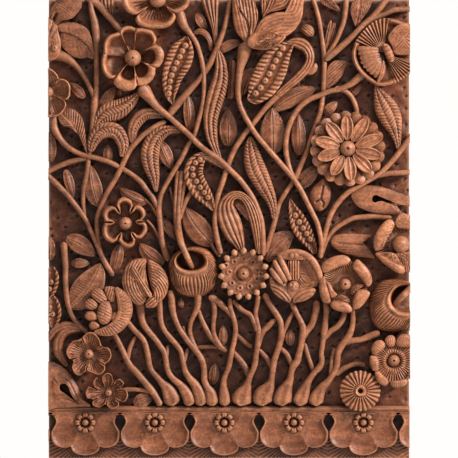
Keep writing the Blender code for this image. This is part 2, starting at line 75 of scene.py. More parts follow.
def grid_quads(rows, columns, closed):
    """The quads of a grid of points, with its last column joined to its first where it is closed."""
    start = np.arange(rows - 1)[:, None] * columns
    here = np.arange(columns if closed else columns - 1)[None, :]
    there = (here + 1) % columns
    corners = [start + here, start + there, start + there + columns, start + here + columns]
    return np.stack(corners, axis=-1).reshape(-1, 4)


def shell(rings):
    """A closed surface from rings of points (rows x ring x u, v, height). A fan round the middle of the first
    and of the last ring closes it, and all is turned over if it encloses a negative volume."""
    rows, count = rings.shape[:2]
    tips = np.stack([rings[0].mean(axis=0), rings[-1].mean(axis=0)])
    points = to_world(np.concatenate([rings.reshape(-1, 3), tips]))
    quads = grid_quads(rows, count, True)
    here = np.arange(count)
    there = (here + 1) % count
    last = (rows - 1) * count
    first_fan = np.stack([there, here, np.full(count, rows * count)], axis=-1)
    last_fan = np.stack([here + last, there + last, np.full(count, rows * count + 1)], axis=-1)
    fans = np.concatenate([first_fan, last_fan])
    corners = points[np.concatenate([fans, quads[:, :3], quads[:, [0, 2, 3]]])] - points.mean(axis=0)
    if np.linalg.det(corners).sum() < 0:
        return points, quads[:, ::-1], fans[:, ::-1]
    return points, quads, fans


def square_off(mesh):
    """Cuts away what runs past the plate's four edges, and closes each cut flat."""
    form = bmesh.new()
    form.from_mesh(mesh)
    for corner, outward in ((LOW, (-1, 0, 0)), (LOW, (0, 0, -1)), (HIGH, (1, 0, 0)), (HIGH, (0, 0, 1))):
        everything = form.verts[:] + form.edges[:] + form.faces[:]
        cut = bmesh.ops.bisect_plane(form, geom=everything, dist=1e-7, plane_co=corner, plane_no=outward,
                                     clear_outer=True)
        rim = [edge for edge in cut["geom_cut"] if isinstance(edge, bmesh.types.BMEdge)]
        bmesh.ops.holes_fill(form, edges=rim, sides=0)
    form.to_mesh(mesh)
    form.free()


def carve(name, shells, finish):
    """One piece of the plate that holds all these shells, cut square at the plate's edges."""
    starts = np.cumsum([0] + [len(points) for points, _, _ in shells])
    points = np.concatenate([points for points, _, _ in shells])
    quads = np.concatenate([quads + start for (_, quads, _), start in zip(shells, starts)])
    fans = np.concatenate([fans + start for (_, _, fans), start in zip(shells, starts)])
    sizes = np.repeat([4, 3], [len(quads), len(fans)])
    mesh = bpy.data.meshes.new(name)
    mesh.vertices.add(len(points))
    mesh.vertices.foreach_set("co", points.astype(np.float32).ravel())
    mesh.loops.add(sizes.sum())
    mesh.loops.foreach_set("vertex_index", np.concatenate([quads.ravel(), fans.ravel()]).astype(np.int32))
    mesh.polygons.add(len(sizes))
    mesh.polygons.foreach_set("loop_start", (np.cumsum(sizes) - sizes).astype(np.int32))
    mesh.update(calc_edges=True)
    square_off(mesh)
    mesh.shade_smooth()
    mesh.set_sharp_from_angle(angle=math.radians(55))
    mesh.materials.append(finish)
    piece = bpy.data.objects.new(name, mesh)
    bpy.context.scene.collection.objects.link(piece)
    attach(piece, "root")
    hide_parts("carved_panel")
    return piece


# Patterns

def smooth(value, low, high):
    """0 below low, 1 above high, and an S curve between."""
    t = np.clip((value - low) / (high - low), 0, 1)
    return t * t * (3 - 2 * t)


def lines(phase, sharp=3):
    """1 along the middle of each line of a repeating pattern and 0 between them."""
    return (0.5 + 0.5 * np.cos(TAU * phase)) ** sharp


def hollow(value, width):
    """A soft groove: 1 where the value is 0, falling away over the width."""
    return np.exp(-(value / width) ** 2)


# Bands: stems, roots, leaves, ropes and pods

def curve_through(points, closed=False):
    """Many steps on a smooth curve through the points: cubic pieces whose slope at each point is that of the
    chord between its neighbours."""
    p = np.array(points, float)
    if closed:
        p = np.concatenate([p, p[:1]])
        chord = np.roll(p[:-1], -1, axis=0) - np.roll(p[:-1], 1, axis=0)
        slope = np.concatenate([chord, chord[:1]]) / 2
    else:
        slope = np.gradient(p, axis=0)
    t = np.linspace(0, 1, 16, endpoint=False)[None, :, None]
    ease = t * t * (3 - 2 * t)
    leaving = t * (1 - t) ** 2
    arriving = t * t * (t - 1)
    steps = (1 - ease) * p[:-1, None] + ease * p[1:, None] + leaving * slope[:-1, None] + arriving * slope[1:, None]
    return np.concatenate([steps.reshape(-1, p.shape[1]), p[-1:]])


def spaced(fine, at):
    """The curve's points at these shares of its length."""
    run = np.concatenate([[0], np.cumsum(np.linalg.norm(np.diff(fine[:, :2], axis=0), axis=1))])
    line = np.column_stack([np.interp(at * run[-1], run, column) for column in fine.T])
    return line, at * run[-1]


def stations(points, step, closer=0.0):
    """Stations about every step along the curve, with some closer ones over the given length at both ends."""
    fine = curve_through(points)
    total = np.linalg.norm(np.diff(fine[:, :2], axis=0), axis=1).sum()
    at = np.linspace(0, 1, max(4, round(total / step)) + 1)
    near = np.array([0.02, 0.1, 0.28, 0.55, 0.9]) * closer / total
    if closer:
        at = np.unique(np.clip(np.concatenate([at, near, 1 - near]), 0, 1))
    return spaced(fine, at)


LEAF_SHARES = np.array([0, 0.05, 0.12, 0.24, 0.38, 0.53, 0.67, 0.79, 0.89, 0.96, 1.0])
LEAF_AROUND = 21


def band(line, run, crest, face, around=15, under=UNDERCUT):
    """A closed band along stations (u, v, width). The face gives the height against the crest at each distance
    along, share across from -1 to 1 and half width. Below its edges the band draws in to a web in the ground."""
    along = np.gradient(line[:, :2], run, axis=0)
    along /= np.linalg.norm(along, axis=1, keepdims=True)
    half = np.maximum(line[:, 2:3] / 2, 0.12)
    level = np.interp(run / run[-1], np.linspace(0, 1, len(crest)), crest)[:, None]
    across = np.sin(np.linspace(-np.pi / 2, np.pi / 2, around))[None, :]
    if around == LEAF_AROUND:
        across = np.concatenate([-LEAF_SHARES[:0:-1], LEAF_SHARES])[None, :]
    top = level + face(run[:, None], across, half)
    share, way = np.array(under).T
    right = top[:, -1:] + (FOOT - top[:, -1:]) * way
    left = top[:, :1] + (FOOT - top[:, :1]) * way[::-1]
    shares = np.concatenate([across[0], share, -share[::-1]])[None, :]
    height = np.concatenate([top, right, left], axis=1)
    u = line[:, :1] - along[:, 1:] * half * shares
    v = line[:, 1:2] + along[:, :1] * half * shares
    return shell(np.stack([u, v, height], axis=-1))


def round_ends(line, run, first=1.0, last=1.0):
    """The stations with the width brought in on a quarter circle at both ends."""
    line = line.copy()
    reach_first = max(0.5 * first * line[0, 2], 0.01)
    reach_last = max(0.5 * last * line[-1, 2], 0.01)
    near = np.clip(run / reach_first, 0, 1)
    far = np.clip((run[-1] - run) / reach_last, 0, 1)
    line[:, 2] *= np.sqrt(np.clip(1 - (1 - near) ** 2, 0.02, 1) * np.clip(1 - (1 - far) ** 2, 0.02, 1))
    return line


def stem(crests, points, bow=1.0):
    """A round-backed stem: its back falls away from the crest as a circle does, and a little unevenly."""
    line, run = stations(points, 2.4, closer=0.5 * points[0][2])
    line = round_ends(line, run)
    wander = 0.25 * np.sin(run / 7.0 + points[0][0]) + 0.18 * np.sin(run / 3.1 + points[0][1])

    def face(run, across, half):
        return -bow * half * (1 - np.sqrt(1 - across**2)) + wander[:, None]

    return band(line, run, crests, face, around=13)


def root(crests, points):
    """A root: as a stem, flatter where it is wide, with a shallow scoop down the middle of its bulb."""
    line, run = stations(points, 2.2, closer=0.5 * points[-1][2])
    line = round_ends(line, run, last=0.8)
    wander = 0.3 * np.sin(run / 6.0 + points[0][0])

    def face(run, across, half):
        wide = smooth(half, 4.0, 8.0)
        back = -(0.85 - 0.25 * wide) * half * (1 - np.sqrt(1 - across**2))
        return back - 1.5 * wide * hollow(across + 0.05, 0.3) + wander[:, None]

    return band(line, run, crests, face, around=17)


def leaf_stations(base_u, base_v, tip_u, tip_v, width, bend, blunt=0.0):
    """Stations of a leaf: an arc from base to tip, whose width swells from the base and runs out at the tip."""
    way = np.linspace(0, 1, max(30, round(math.dist((base_u, base_v), (tip_u, tip_v)) / 0.65)))
    way = way + 0.06 * np.sin(TAU * way) / TAU * -2
    base = np.array((base_u, base_v), float)
    tip = np.array((tip_u, tip_v), float)
    reach = tip - base
    side = np.array((-reach[1], reach[0])) / np.linalg.norm(reach)
    spine = base + way[:, None] * reach + (4 * way * (1 - way) * bend)[:, None] * side
    swell = (way + 0.03) ** 0.62 * (1.004 - way) ** (0.78 - blunt)
    line = np.column_stack([spine, width * swell / swell.max()])
    run = np.concatenate([[0], np.cumsum(np.linalg.norm(np.diff(spine, axis=0), axis=1))])
    return line, run


def plain_face(run, across, half):
    """Two slightly hollowed halves that lean apart from a narrow cut midrib, with a crisp edge."""
    out = np.abs(across)
    size = np.minimum(half / 6.0, 1.0)
    halves = 0.7 * (2 * out - 1) ** 2 - 1.3 * out - 0.9 * smooth(out, 0.9, 1.0)
    return size * (halves - 1.1 * hollow(across, 0.06)) - 0.4 * across


def veined_face(run, across, half):
    """A plain leaf with veins that run forward from the midrib in a herringbone."""
    out = np.abs(across)
    veins = lines((run - 1.1 * out * half) / 2.7, 2.5)
    return plain_face(run, across, half) - 0.8 * veins * smooth(out, 0.06, 0.2) * (1 - smooth(out, 0.9, 1.0))


def fine_face(run, across, half):
    """A plain leaf with fine cuts along it."""
    cuts = lines(across * half / 1.5 + 0.02 * run, 2)
    return plain_face(run, across, half) - 0.4 * cuts


def fringed_face(run, across, half):
    """A smooth leaf whose edges are cut with short slanting strokes."""
    out = np.abs(across)
    cuts = lines((run + 1.5 * out * half) / 2.2, 2)
    return plain_face(run, across, half) - 0.7 * cuts * smooth(out, 0.45, 0.8)


def rope_face(twists, rib=2.4, pitch=3.4, slant=0.5):
    """Twisted cords side by side: each is round-backed, with slanting cuts of its own depth that meet those of the
    next cord in a herringbone."""
    strands = len(twists)

    def face(run, across, half):
        lane = (np.clip(across, -0.999, 0.999) + 1) * strands / 2
        number = np.floor(lane)
        inside = 2 * (lane - number) - 1
        lay = np.where(number % 2 < 1, 1, -1)
        size = np.minimum(half / strands / 2.2, 1.0)
        cord = rib * (np.sqrt(1 - 0.96 * inside**2) - 1)
        cuts = lines(run / pitch - slant * lay * inside, 1.8) * (1 - 0.4 * inside**2)
        cuts = cuts * np.array(twists)[number.astype(int)]
        return size * (cord - cuts) - 1.8 * across**2 * size
    return face


def pod_face(left=0.56, right=0.52, trough=4.5, notch=2.0, pitch=4.6):
    """An open pod: along each edge a row of knuckles with slanting notches between, and a trough for the seeds."""
    def face(run, across, half):
        out = np.abs(across)
        rim = np.where(across < 0, right, left)
        inside = np.clip((out - (1 - rim)) / rim, 0, 1) * 2 - 1
        size = np.minimum(half / 7.0, 1.0)
        knuckle = 2.0 * (np.sqrt(np.clip(1 - 0.94 * inside**2, 0, 1)) - 1)
        gap = notch * lines(run / pitch + 0.28 * inside * np.sign(across), 2.5)
        bed = -trough + 1.5 * (out / (1 - rim)) ** 2
        return size * np.where(out > 1 - rim, knuckle - gap, bed)
    return face


def ribbed_face(ribs, depth=1.1):
    """Smooth ribs side by side along a ribbon, falling to its edges."""
    def face(run, across, half):
        size = np.minimum(half / 6.0, 1.0)
        return size * (-depth * lines((across + 1) * ribs / 2, 2) - 2.0 * across**2)
    return face


def round_face(run, across, half):
    return -0.8 * np.minimum(half, 4.0) * (1 - np.sqrt(1 - across**2))


def ribbon(crest, face, points, around=27):
    """A broad form along a route, a little lower at both ends."""
    line, run = stations(points, 1.0, closer=0.4 * max(points[0][2], points[-1][2]))
    line = round_ends(line, run, 0.9, 0.9)
    return band(line, run, (crest - 2.5, crest - 0.4, crest, crest - 0.4, crest - 2.5), face, around)


def leaf(crest, face, shape, bend=0.0, blunt=0.0):
    line, run = leaf_stations(*shape, bend, blunt)
    return band(line, run, (crest - 2.0, crest, crest, crest - 1.0, crest - 3.0), face, around=21)


# Round forms: flower heads, balls, plates with an outline

def polar(u, v, reach, rho, angle, top, under=UNDERCUT):
    """A closed form round a centre: its outline lies at `reach` for each angle, its face at shares rho of that,
    from 1 at the outline inwards, with the given heights, and its side draws in to a web in the ground."""
    share, way = np.array(under)[::-1].T
    side = top[:1] + (FOOT - top[:1]) * way[:, None]
    shares = np.concatenate([share, rho])[:, None]
    height = np.concatenate([side, top])
    ring_u = u + shares * reach * np.cos(angle)
    ring_v = v + shares * reach * np.sin(angle)
    return shell(np.stack([ring_u, ring_v, height], axis=-1))


def inward(count):
    """Shares of the way out, from 1 towards 0, closest together near 1."""
    return np.cos(np.linspace(0, np.pi / 2, count + 1)[:-1])


def bloom(u, v, radius, outline, face, around=180, rings=26):
    """A flower head: outline(angle) gives its edge as a share of the radius, face(rho, angle) its height."""
    angle = np.linspace(0, TAU, around, endpoint=False)
    rho = inward(rings)
    return polar(u, v, radius * outline(angle), rho, angle, face(rho[:, None], angle[None, :]))


def ball(u, v, radius, top, hole=0.0, around=22, rings=9):
    """A ball that stands out of the wood, with a drilled hole in its top where one is given."""
    angle = np.linspace(0, TAU, around, endpoint=False)
    lean = np.linspace(np.pi * 0.6, 0.12 if hole else 0.05, rings)
    rho = np.sin(lean)
    height = top - radius * (1 - np.cos(lean))
    if hole:
        keep = rho * radius > hole * 1.05
        keep[: rings // 2] = True
        rho = np.concatenate([rho[keep], np.array([1.0, 0.85, 0.3]) * hole / radius])
        height = np.concatenate([height[keep], top - np.array([0.25, 1.9, 2.3])])
    rho = np.concatenate([[0.75], rho])
    height = np.concatenate([[max(top - 2.2 * radius, FOOT)], height])
    ring_u = u + radius * rho[:, None] * np.cos(angle)
    ring_v = v + radius * rho[:, None] * np.sin(angle)
    return shell(np.stack([ring_u, ring_v, np.broadcast_to(height[:, None], ring_u.shape)], axis=-1))


def plate(outline, face, around=96, rings=16, middle=None, under=UNDERCUT):
    """A closed form inside a smooth outline through a few points. face(rho, u, v) gives its height."""
    line, _ = spaced(curve_through(outline, closed=True), np.linspace(0, 1, around, endpoint=False))
    centre = line.mean(axis=0) if middle is None else np.array(middle, float)
    rho = inward(rings)[:, None]
    u = centre[0] + rho * (line[:, 0] - centre[0])
    v = centre[1] + rho * (line[:, 1] - centre[1])
    top = face(rho, u, v)
    share, way = np.array(under)[::-1].T
    side = top[:1] + (FOOT - top[:1]) * way[:, None]
    side_u = centre[0] + share[:, None] * (line[:, 0] - centre[0])
    side_v = centre[1] + share[:, None] * (line[:, 1] - centre[1])
    rings_u = np.concatenate([side_u, u])
    rings_v = np.concatenate([side_v, v])
    return shell(np.stack([rings_u, rings_v, np.concatenate([side, top])], axis=-1))


def petal_side(angle, petals, first):
    """-1 and 1 at the joints on either side of a petal, and 0 at its middle."""
    return ((angle - math.radians(first)) * petals / TAU + 0.5) % 1 * 2 - 1


def open_flower(centre, outline, joints, rims, crest=42.0, dish=29.0, wall=0.5, wrap=0.8, fine=64, cuts=0.5, tilt=0.7,
                split=2.6, around=220, rings=28):
    """A head of petals inside a measured outline. The joints between petals lie at the given angles, and each petal
    has its own width of rolled rim. Inside the rim the height drops by a share of the depth at a steep wall, then
    falls evenly to the dish, with fine cuts that run out from the middle and a split along each joint."""
    angle = np.linspace(0, TAU, around, endpoint=False)[None, :]
    rho = inward(rings)[:, None]
    reach = by_angle(outline, centre, angle)
    edges = np.radians(np.sort(np.array(joints) % 360))
    order = np.argsort(np.array(joints) % 360)
    number = (np.searchsorted(edges, angle, side="right") - 1) % len(edges)
    start = edges[number]
    span = (np.roll(edges, -1)[number] - start) % TAU
    across = ((angle - start) % TAU) / span * 2 - 1
    width = np.array(rims, float)[order][number]
    from_edge = (1 - rho) * reach
    from_joint = (1 - np.abs(across)) * span / 2 * rho * reach
    beside = from_joint / wrap + 9.0 * (1 - smooth(rho, 0.35, 0.7))
    inside = (np.maximum(from_edge, 0.01) ** -4.0 + np.maximum(beside, 0.01) ** -4.0) ** -0.25
    roll = crest - 2.0 * (np.clip(inside / width, 0, 1) * 2 - 1) ** 2
    deep = np.clip((inside - width) / np.maximum(0.75 * reach - width, 1), 0, 1)
    drop = wall * (1 - np.exp(-deep / 0.07)) + (1 - wall) * deep ** 0.8
    strokes = cuts * lines(fine * angle / TAU, 2) * smooth(deep, 0.02, 0.1)
    top = np.where(inside < width, roll, crest - 2.0 - (crest - 2.0 - dish) * drop - strokes)
    top = top - split * hollow(from_joint, 0.8) * smooth(rho, 0.3, 0.7) + tilt * across * rho**2
    return polar(*centre, reach, rho[:, 0], angle[0], top)


def by_angle(outline, centre, angle):
    """How far a smooth outline through the points lies from the centre, at each angle round it."""
    offset = curve_through(outline, closed=True)[:-1] - centre
    return np.interp(angle, np.arctan2(offset[:, 1], offset[:, 0]), np.hypot(offset[:, 0], offset[:, 1]), period=TAU)


def pierced(outline, opening, centre, face, floor, around=150, rings=14, under=UNDERCUT):
    """A form with an opening: its face runs from the outline (t = 0) to the opening (t = 1), then a wall goes down
    to the opening's floor."""
    angle = np.linspace(0, TAU, around, endpoint=False)
    outer = by_angle(outline, centre, angle)
    inner = by_angle(opening, centre, angle)
    t = (1 - np.cos(np.linspace(0, np.pi, rings)))[:, None] / 2
    reach = outer + (inner - outer) * t
    top = face(t, centre[0] + reach * np.cos(angle), centre[1] + reach * np.sin(angle)) + 0 * reach
    share, way = np.array(under)[::-1].T
    side = top[:1] + (FOOT - top[:1]) * way[:, None]
    wall = top[-1:] + (floor - top[-1:]) * np.array([[0.15], [0.9], [1.0]])
    reach = np.concatenate([share[:, None] * outer, reach, inner * np.array([[0.95], [0.88], [0.5]])])
    height = np.concatenate([side, top, wall])
    return shell(np.stack([centre[0] + reach * np.cos(angle), centre[1] + reach * np.sin(angle), height], axis=-1))


def petal(crest, outline, swell=1.6, dip=0.0, lean=(0, 0), cuts=None, depth=0.6, middle=None, around=84, rings=14):
    """A petal inside its outline: domed by the swell, hollowed by the dip inside a rolled edge, leaning by a slope
    in u and in v, and cut where the pattern is 1."""
    centre = np.mean(outline, axis=0) if middle is None else middle

    def face(rho, u, v):
        height = crest + lean[0] * (u - centre[0]) + lean[1] * (v - centre[1])
        height = height - swell * rho**3 - dip * (1 - smooth(rho, 0.5, 0.86)) - 0.8 * smooth(rho, 0.93, 1.0)
        if cuts is None:
            return height
        return height - depth * cuts(u, v) * (1 - smooth(rho, 0.86, 0.98))

    return plate(outline, face, around, rings, middle)


def nearest(points, x, y):
    """For each place, how far along the route through the points its nearest point lies, and how far the place is
    to the left of the route there."""
    route, run = spaced(curve_through(points), np.linspace(0, 1, 48))
    slope = np.gradient(route, axis=0)
    slope /= np.linalg.norm(slope, axis=1, keepdims=True)
    away_u, away_v = x[..., None] - route[:, 0], y[..., None] - route[:, 1]
    index = np.argmin(np.hypot(away_u, away_v), axis=-1)
    du = np.take_along_axis(away_u, index[..., None], -1)[..., 0]
    dv = np.take_along_axis(away_v, index[..., None], -1)[..., 0]
    along = run[index] + du * slope[index, 0] + dv * slope[index, 1]
    return along, slope[index, 0] * dv - slope[index, 1] * du


def outlined_leaf(crest, outline, midrib, fold=0.8, groove=1.2, veins=0.0, pitch=2.6, cuts=None, depth=0.5, swell=1.0,
                  lean=(0, 0), middle=None, around=110, rings=16):
    """A leaf inside a measured outline: its halves stand apart by the fold at the cut midrib, and veins run forward
    from it."""
    centre = np.mean(outline, axis=0) if middle is None else middle

    def face(rho, u, v):
        along, beside = nearest(midrib, u, v)
        out = np.abs(beside)
        height = crest + lean[0] * (u - centre[0]) + lean[1] * (v - centre[1]) - swell * rho**4
        height = height + fold * np.tanh(beside / 0.8) - groove * hollow(beside, 0.75)
        height = height - veins * lines((along - 1.0 * out) / pitch, 2) * smooth(out, 0.3, 1.6) * (1 - rho**8)
        return height if cuts is None else height - depth * cuts(u, v) * (1 - rho**8)

    return plate(outline, face, around, rings, middle)


def pecked(x, y):
    """Short scattered cuts, as a small gouge leaves."""
    return lines(x / 4.1 + 0.35 * np.sin(y / 2.7), 2.5) * lines(y / 2.6 + 0.45 * np.sin(x / 3.9), 4)


def fanned(u, v, number, sharp=2):
    """Cuts that run out from a place: number of them in a full turn."""
    return lambda x, y: lines(number * np.arctan2(y - v, x - u) / TAU, sharp)


def ruled(turn, pitch, sharp=2, bend=0.0):
    """Parallel cuts that run at an angle in degrees, a pitch apart, bent a little."""
    c, s = math.cos(math.radians(turn)), math.sin(math.radians(turn))
    return lambda x, y: lines((c * y - s * x + bend * (c * x + s * y) ** 2) / pitch, sharp)


def ringed(u, v, pitch, sharp=2):
    """Cuts in rings round a place, a pitch apart."""
    return lambda x, y: lines(np.hypot(x - u, y - v) / pitch, sharp)


def stroke(x, y, start, end, width=0.9):
    """One straight cut between two places."""
    along = np.subtract(end, start)
    t = np.clip(((x - start[0]) * along[0] + (y - start[1]) * along[1]) / (along @ along), 0, 1)
    return hollow(np.hypot(x - start[0] - t * along[0], y - start[1] - t * along[1]), width)


def cup(outline, centre, mouth, pole, rim=43.0, edge=24.0, floor=26.0, flutes=38, around=190):
    """A fluted cup seen from its side and a little from above. Each flute runs from the mouth's rim to the outline,
    and they crowd towards the pole, the bottom of the cup. Inside the rim the wall goes down to the floor."""
    angle = np.linspace(0, TAU, around, endpoint=False)
    away = (angle - math.radians(pole) + np.pi) % TAU - np.pi
    mapped = math.radians(pole) + away * (0.5 + 0.5 * np.abs(away) / np.pi)
    reach = by_angle(outline, centre, mapped)
    edge_u = centre[0] + reach * np.cos(mapped)
    edge_v = centre[1] + reach * np.sin(mapped)
    rim_u = mouth[0] + mouth[2] * np.cos(angle)
    rim_v = mouth[1] + mouth[3] * np.sin(angle)
    axis = math.cos(math.radians(pole)), math.sin(math.radians(pole))
    beside = -axis[1] * (rim_u - mouth[0]) + axis[0] * (rim_v - mouth[1])
    s = np.sin(np.linspace(np.pi / 2, 0, 24))[:, None] ** 1.2
    s[0], s[-1] = 1, 0
    push = 0.6 * beside * np.clip(np.cos(away), 0, 1) ** 2 * np.sin(np.pi * s)
    u = rim_u + (edge_u - rim_u) * s - axis[1] * push
    v = rim_v + (edge_v - rim_v) * s + axis[0] * push
    flute = lines(flutes * angle / TAU, 1.5)
    body = edge + (rim - 1.2 - edge) * np.sqrt(1 - s**2 * 0.999)
    roll = 1.2 * hollow(s - 0.05, 0.07) - 1.3 * hollow(s - 0.16, 0.05)
    top = body + roll - 1.5 * flute * smooth(s, 0.16, 0.3) * (1 - 0.6 * smooth(s, 0.8, 1.0))
    share, way = np.array(UNDERCUT)[::-1].T[:, :, None]
    side_u = centre[0] + (edge_u - centre[0]) * share
    side_v = centre[1] + (edge_v - centre[1]) * share
    side = top[:1] + (FOOT - top[:1]) * way
    inside = np.array([0.94, 0.88, 0.8, 0.7, 0.4])[:, None]
    drop = np.array([0.08, 0.4, 0.75, 0.95, 1.0])[:, None]
    bowl = rim + (floor - rim) * drop - 0.8 * flute * np.array([0, 1, 1, 1, 0])[:, None]
    ring_u = np.concatenate([side_u, u, mouth[0] + inside * (rim_u - mouth[0])])
    ring_v = np.concatenate([side_v, v, mouth[1] + inside * (rim_v - mouth[1])])
    return shell(np.stack([ring_u, ring_v, np.concatenate([side, top, bowl])], axis=-1))


def bead(u, v, length, width, turn, crest):
    """A long bead lying at an angle in degrees."""
    reach = (length - width * 0.55) / 2
    c, s = math.cos(math.radians(turn)) * reach, math.sin(math.radians(turn)) * reach
    line, run = stations(((u - c, v - s, width * 0.9), (u, v, width), (u + c, v + s, width * 0.9)), width / 5)
    return band(round_ends(line, run, 1.1, 1.1), run, (crest - 1.5, crest, crest - 1.5), round_face, around=11)


# Finishes

def walnut():
    """Oiled walnut, carved: red-brown with darker streaks along the grain, darker the deeper it lies and lighter
    towards the crests, painted shade in the cuts and narrow gaps, a painted highlight on sharp edges, and a satin sheen
    that varies a little."""
    made = bpy.data.materials.new("oiled_walnut")
    made.use_nodes = True
    nodes = made.node_tree.nodes
    link = made.node_tree.links.new
    shader = nodes["Principled BSDF"]

    def node(kind, **values):
        new = nodes.new(kind)
        for name, value in values.items():
            if hasattr(new, name):
                setattr(new, name, value)
            else:
                new.inputs[name].default_value = value
        return new

    def mix(blend, factor, first, second):
        new = nodes.new("ShaderNodeMix")
        new.data_type = "RGBA"
        new.blend_type = blend
        for socket, value in ((0, factor), (6, first), (7, second)):
            if isinstance(value, bpy.types.NodeSocket):
                link(value, new.inputs[socket])
            else:
                new.inputs[socket].default_value = value
        return new.outputs[2]

    def ramp(value, *stops):
        new = nodes.new("ShaderNodeValToRGB")
        new.color_ramp.elements[0].position = stops[0][0]
        new.color_ramp.elements[0].color = stops[0][1]
        new.color_ramp.elements[1].position = stops[1][0]
        new.color_ramp.elements[1].color = stops[1][1]
        link(value, new.inputs["Fac"])
        return new.outputs["Color"]

    def grey(value):
        return (value, value, value, 1)

    place = nodes.new("ShaderNodeTexCoord").outputs["Object"]
    stretch = nodes.new("ShaderNodeMapping")
    stretch.inputs["Scale"].default_value = (7, 26, 60)
    link(place, stretch.inputs["Vector"])
    streaks = node("ShaderNodeTexNoise", Scale=2.2, Detail=7.0, Roughness=0.62)
    link(stretch.outputs["Vector"], streaks.inputs["Vector"])
    clouds = node("ShaderNodeTexNoise", Scale=9.0, Detail=3.0, Roughness=0.5)
    link(place, clouds.inputs["Vector"])
    speckle = node("ShaderNodeTexNoise", Scale=480.0, Detail=4.0, Roughness=0.7)
    link(place, speckle.inputs["Vector"])
    wood = mix("MIX", ramp(streaks.outputs["Fac"], (0.3, grey(0)), (0.7, grey(1))),
               (0.175, 0.062, 0.028, 1), (0.40, 0.168, 0.082, 1))
    wood = mix("MULTIPLY", 0.55, wood, ramp(clouds.outputs["Fac"], (0.3, (0.7, 0.62, 0.58, 1)), (0.7, grey(1.15))))
    wood = mix("MULTIPLY", 0.8, wood, ramp(speckle.outputs["Fac"], (0.36, (0.5, 0.45, 0.42, 1)), (0.62, grey(1.25))))

    patches = node("ShaderNodeTexNoise", Scale=150.0, Detail=3.0, Roughness=0.6)
    link(place, patches.inputs["Vector"])
    wood = mix("MULTIPLY", 0.55, wood, ramp(patches.outputs["Fac"], (0.38, (0.62, 0.5, 0.46, 1)), (0.62, (1.25, 1.15, 1.1, 1))))

    apart = nodes.new("ShaderNodeSeparateXYZ")
    link(place, apart.inputs["Vector"])
    depth = node("ShaderNodeMapRange", clamp=True)
    depth.inputs["From Min"].default_value = BACK - 12 * MM
    depth.inputs["From Max"].default_value = BACK - 42 * MM
    link(apart.outputs["Y"], depth.inputs["Value"])
    wood = mix("MULTIPLY", 1.0, wood, ramp(depth.outputs["Result"], (0.0, (0.44, 0.29, 0.22, 1)), (1.0, grey(1.3))))

    # Painted shade: ambient occlusion darkens the colour in cuts, crevices and narrow gaps.
    painted_shade_ao = node("ShaderNodeAmbientOcclusion", samples=6, Distance=0.014)
    wood = mix("MULTIPLY", 0.9, wood,
               ramp(painted_shade_ao.outputs["AO"], (0.2, (0.16, 0.085, 0.052, 1)), (0.85, grey(1.0))))
    # Painted highlight: a lighter colour is mixed in on sharp convex edges.
    edges = ramp(nodes.new("ShaderNodeNewGeometry").outputs["Pointiness"], (0.5, grey(0)), (0.56, grey(1)))
    wood = mix("MIX", mix("MULTIPLY", 1.0, edges, grey(0.3)), wood, (0.62, 0.33, 0.19, 1))
    link(wood, shader.inputs["Base Color"])
    shader.inputs["Specular IOR Level"].default_value = 0.35

    sheen = node("ShaderNodeMapRange", clamp=True)
    sheen.inputs["To Min"].default_value = 0.36
    sheen.inputs["To Max"].default_value = 0.54
    link(streaks.outputs["Fac"], sheen.inputs["Value"])
    link(sheen.outputs["Result"], shader.inputs["Roughness"])
    tool = node("ShaderNodeTexNoise", Scale=150.0, Detail=4.0, Roughness=0.6)
    link(place, tool.inputs["Vector"])
    both = mix("MIX", 0.5, tool.outputs["Fac"], streaks.outputs["Fac"])
    bump = node("ShaderNodeBump", Strength=0.5, Distance=0.0006)
    link(both, bump.inputs["Height"])
    link(bump.outputs["Normal"], shader.inputs["Normal"])
    return made


# Stems and roots: crests evenly along the route, then its points u, v, width

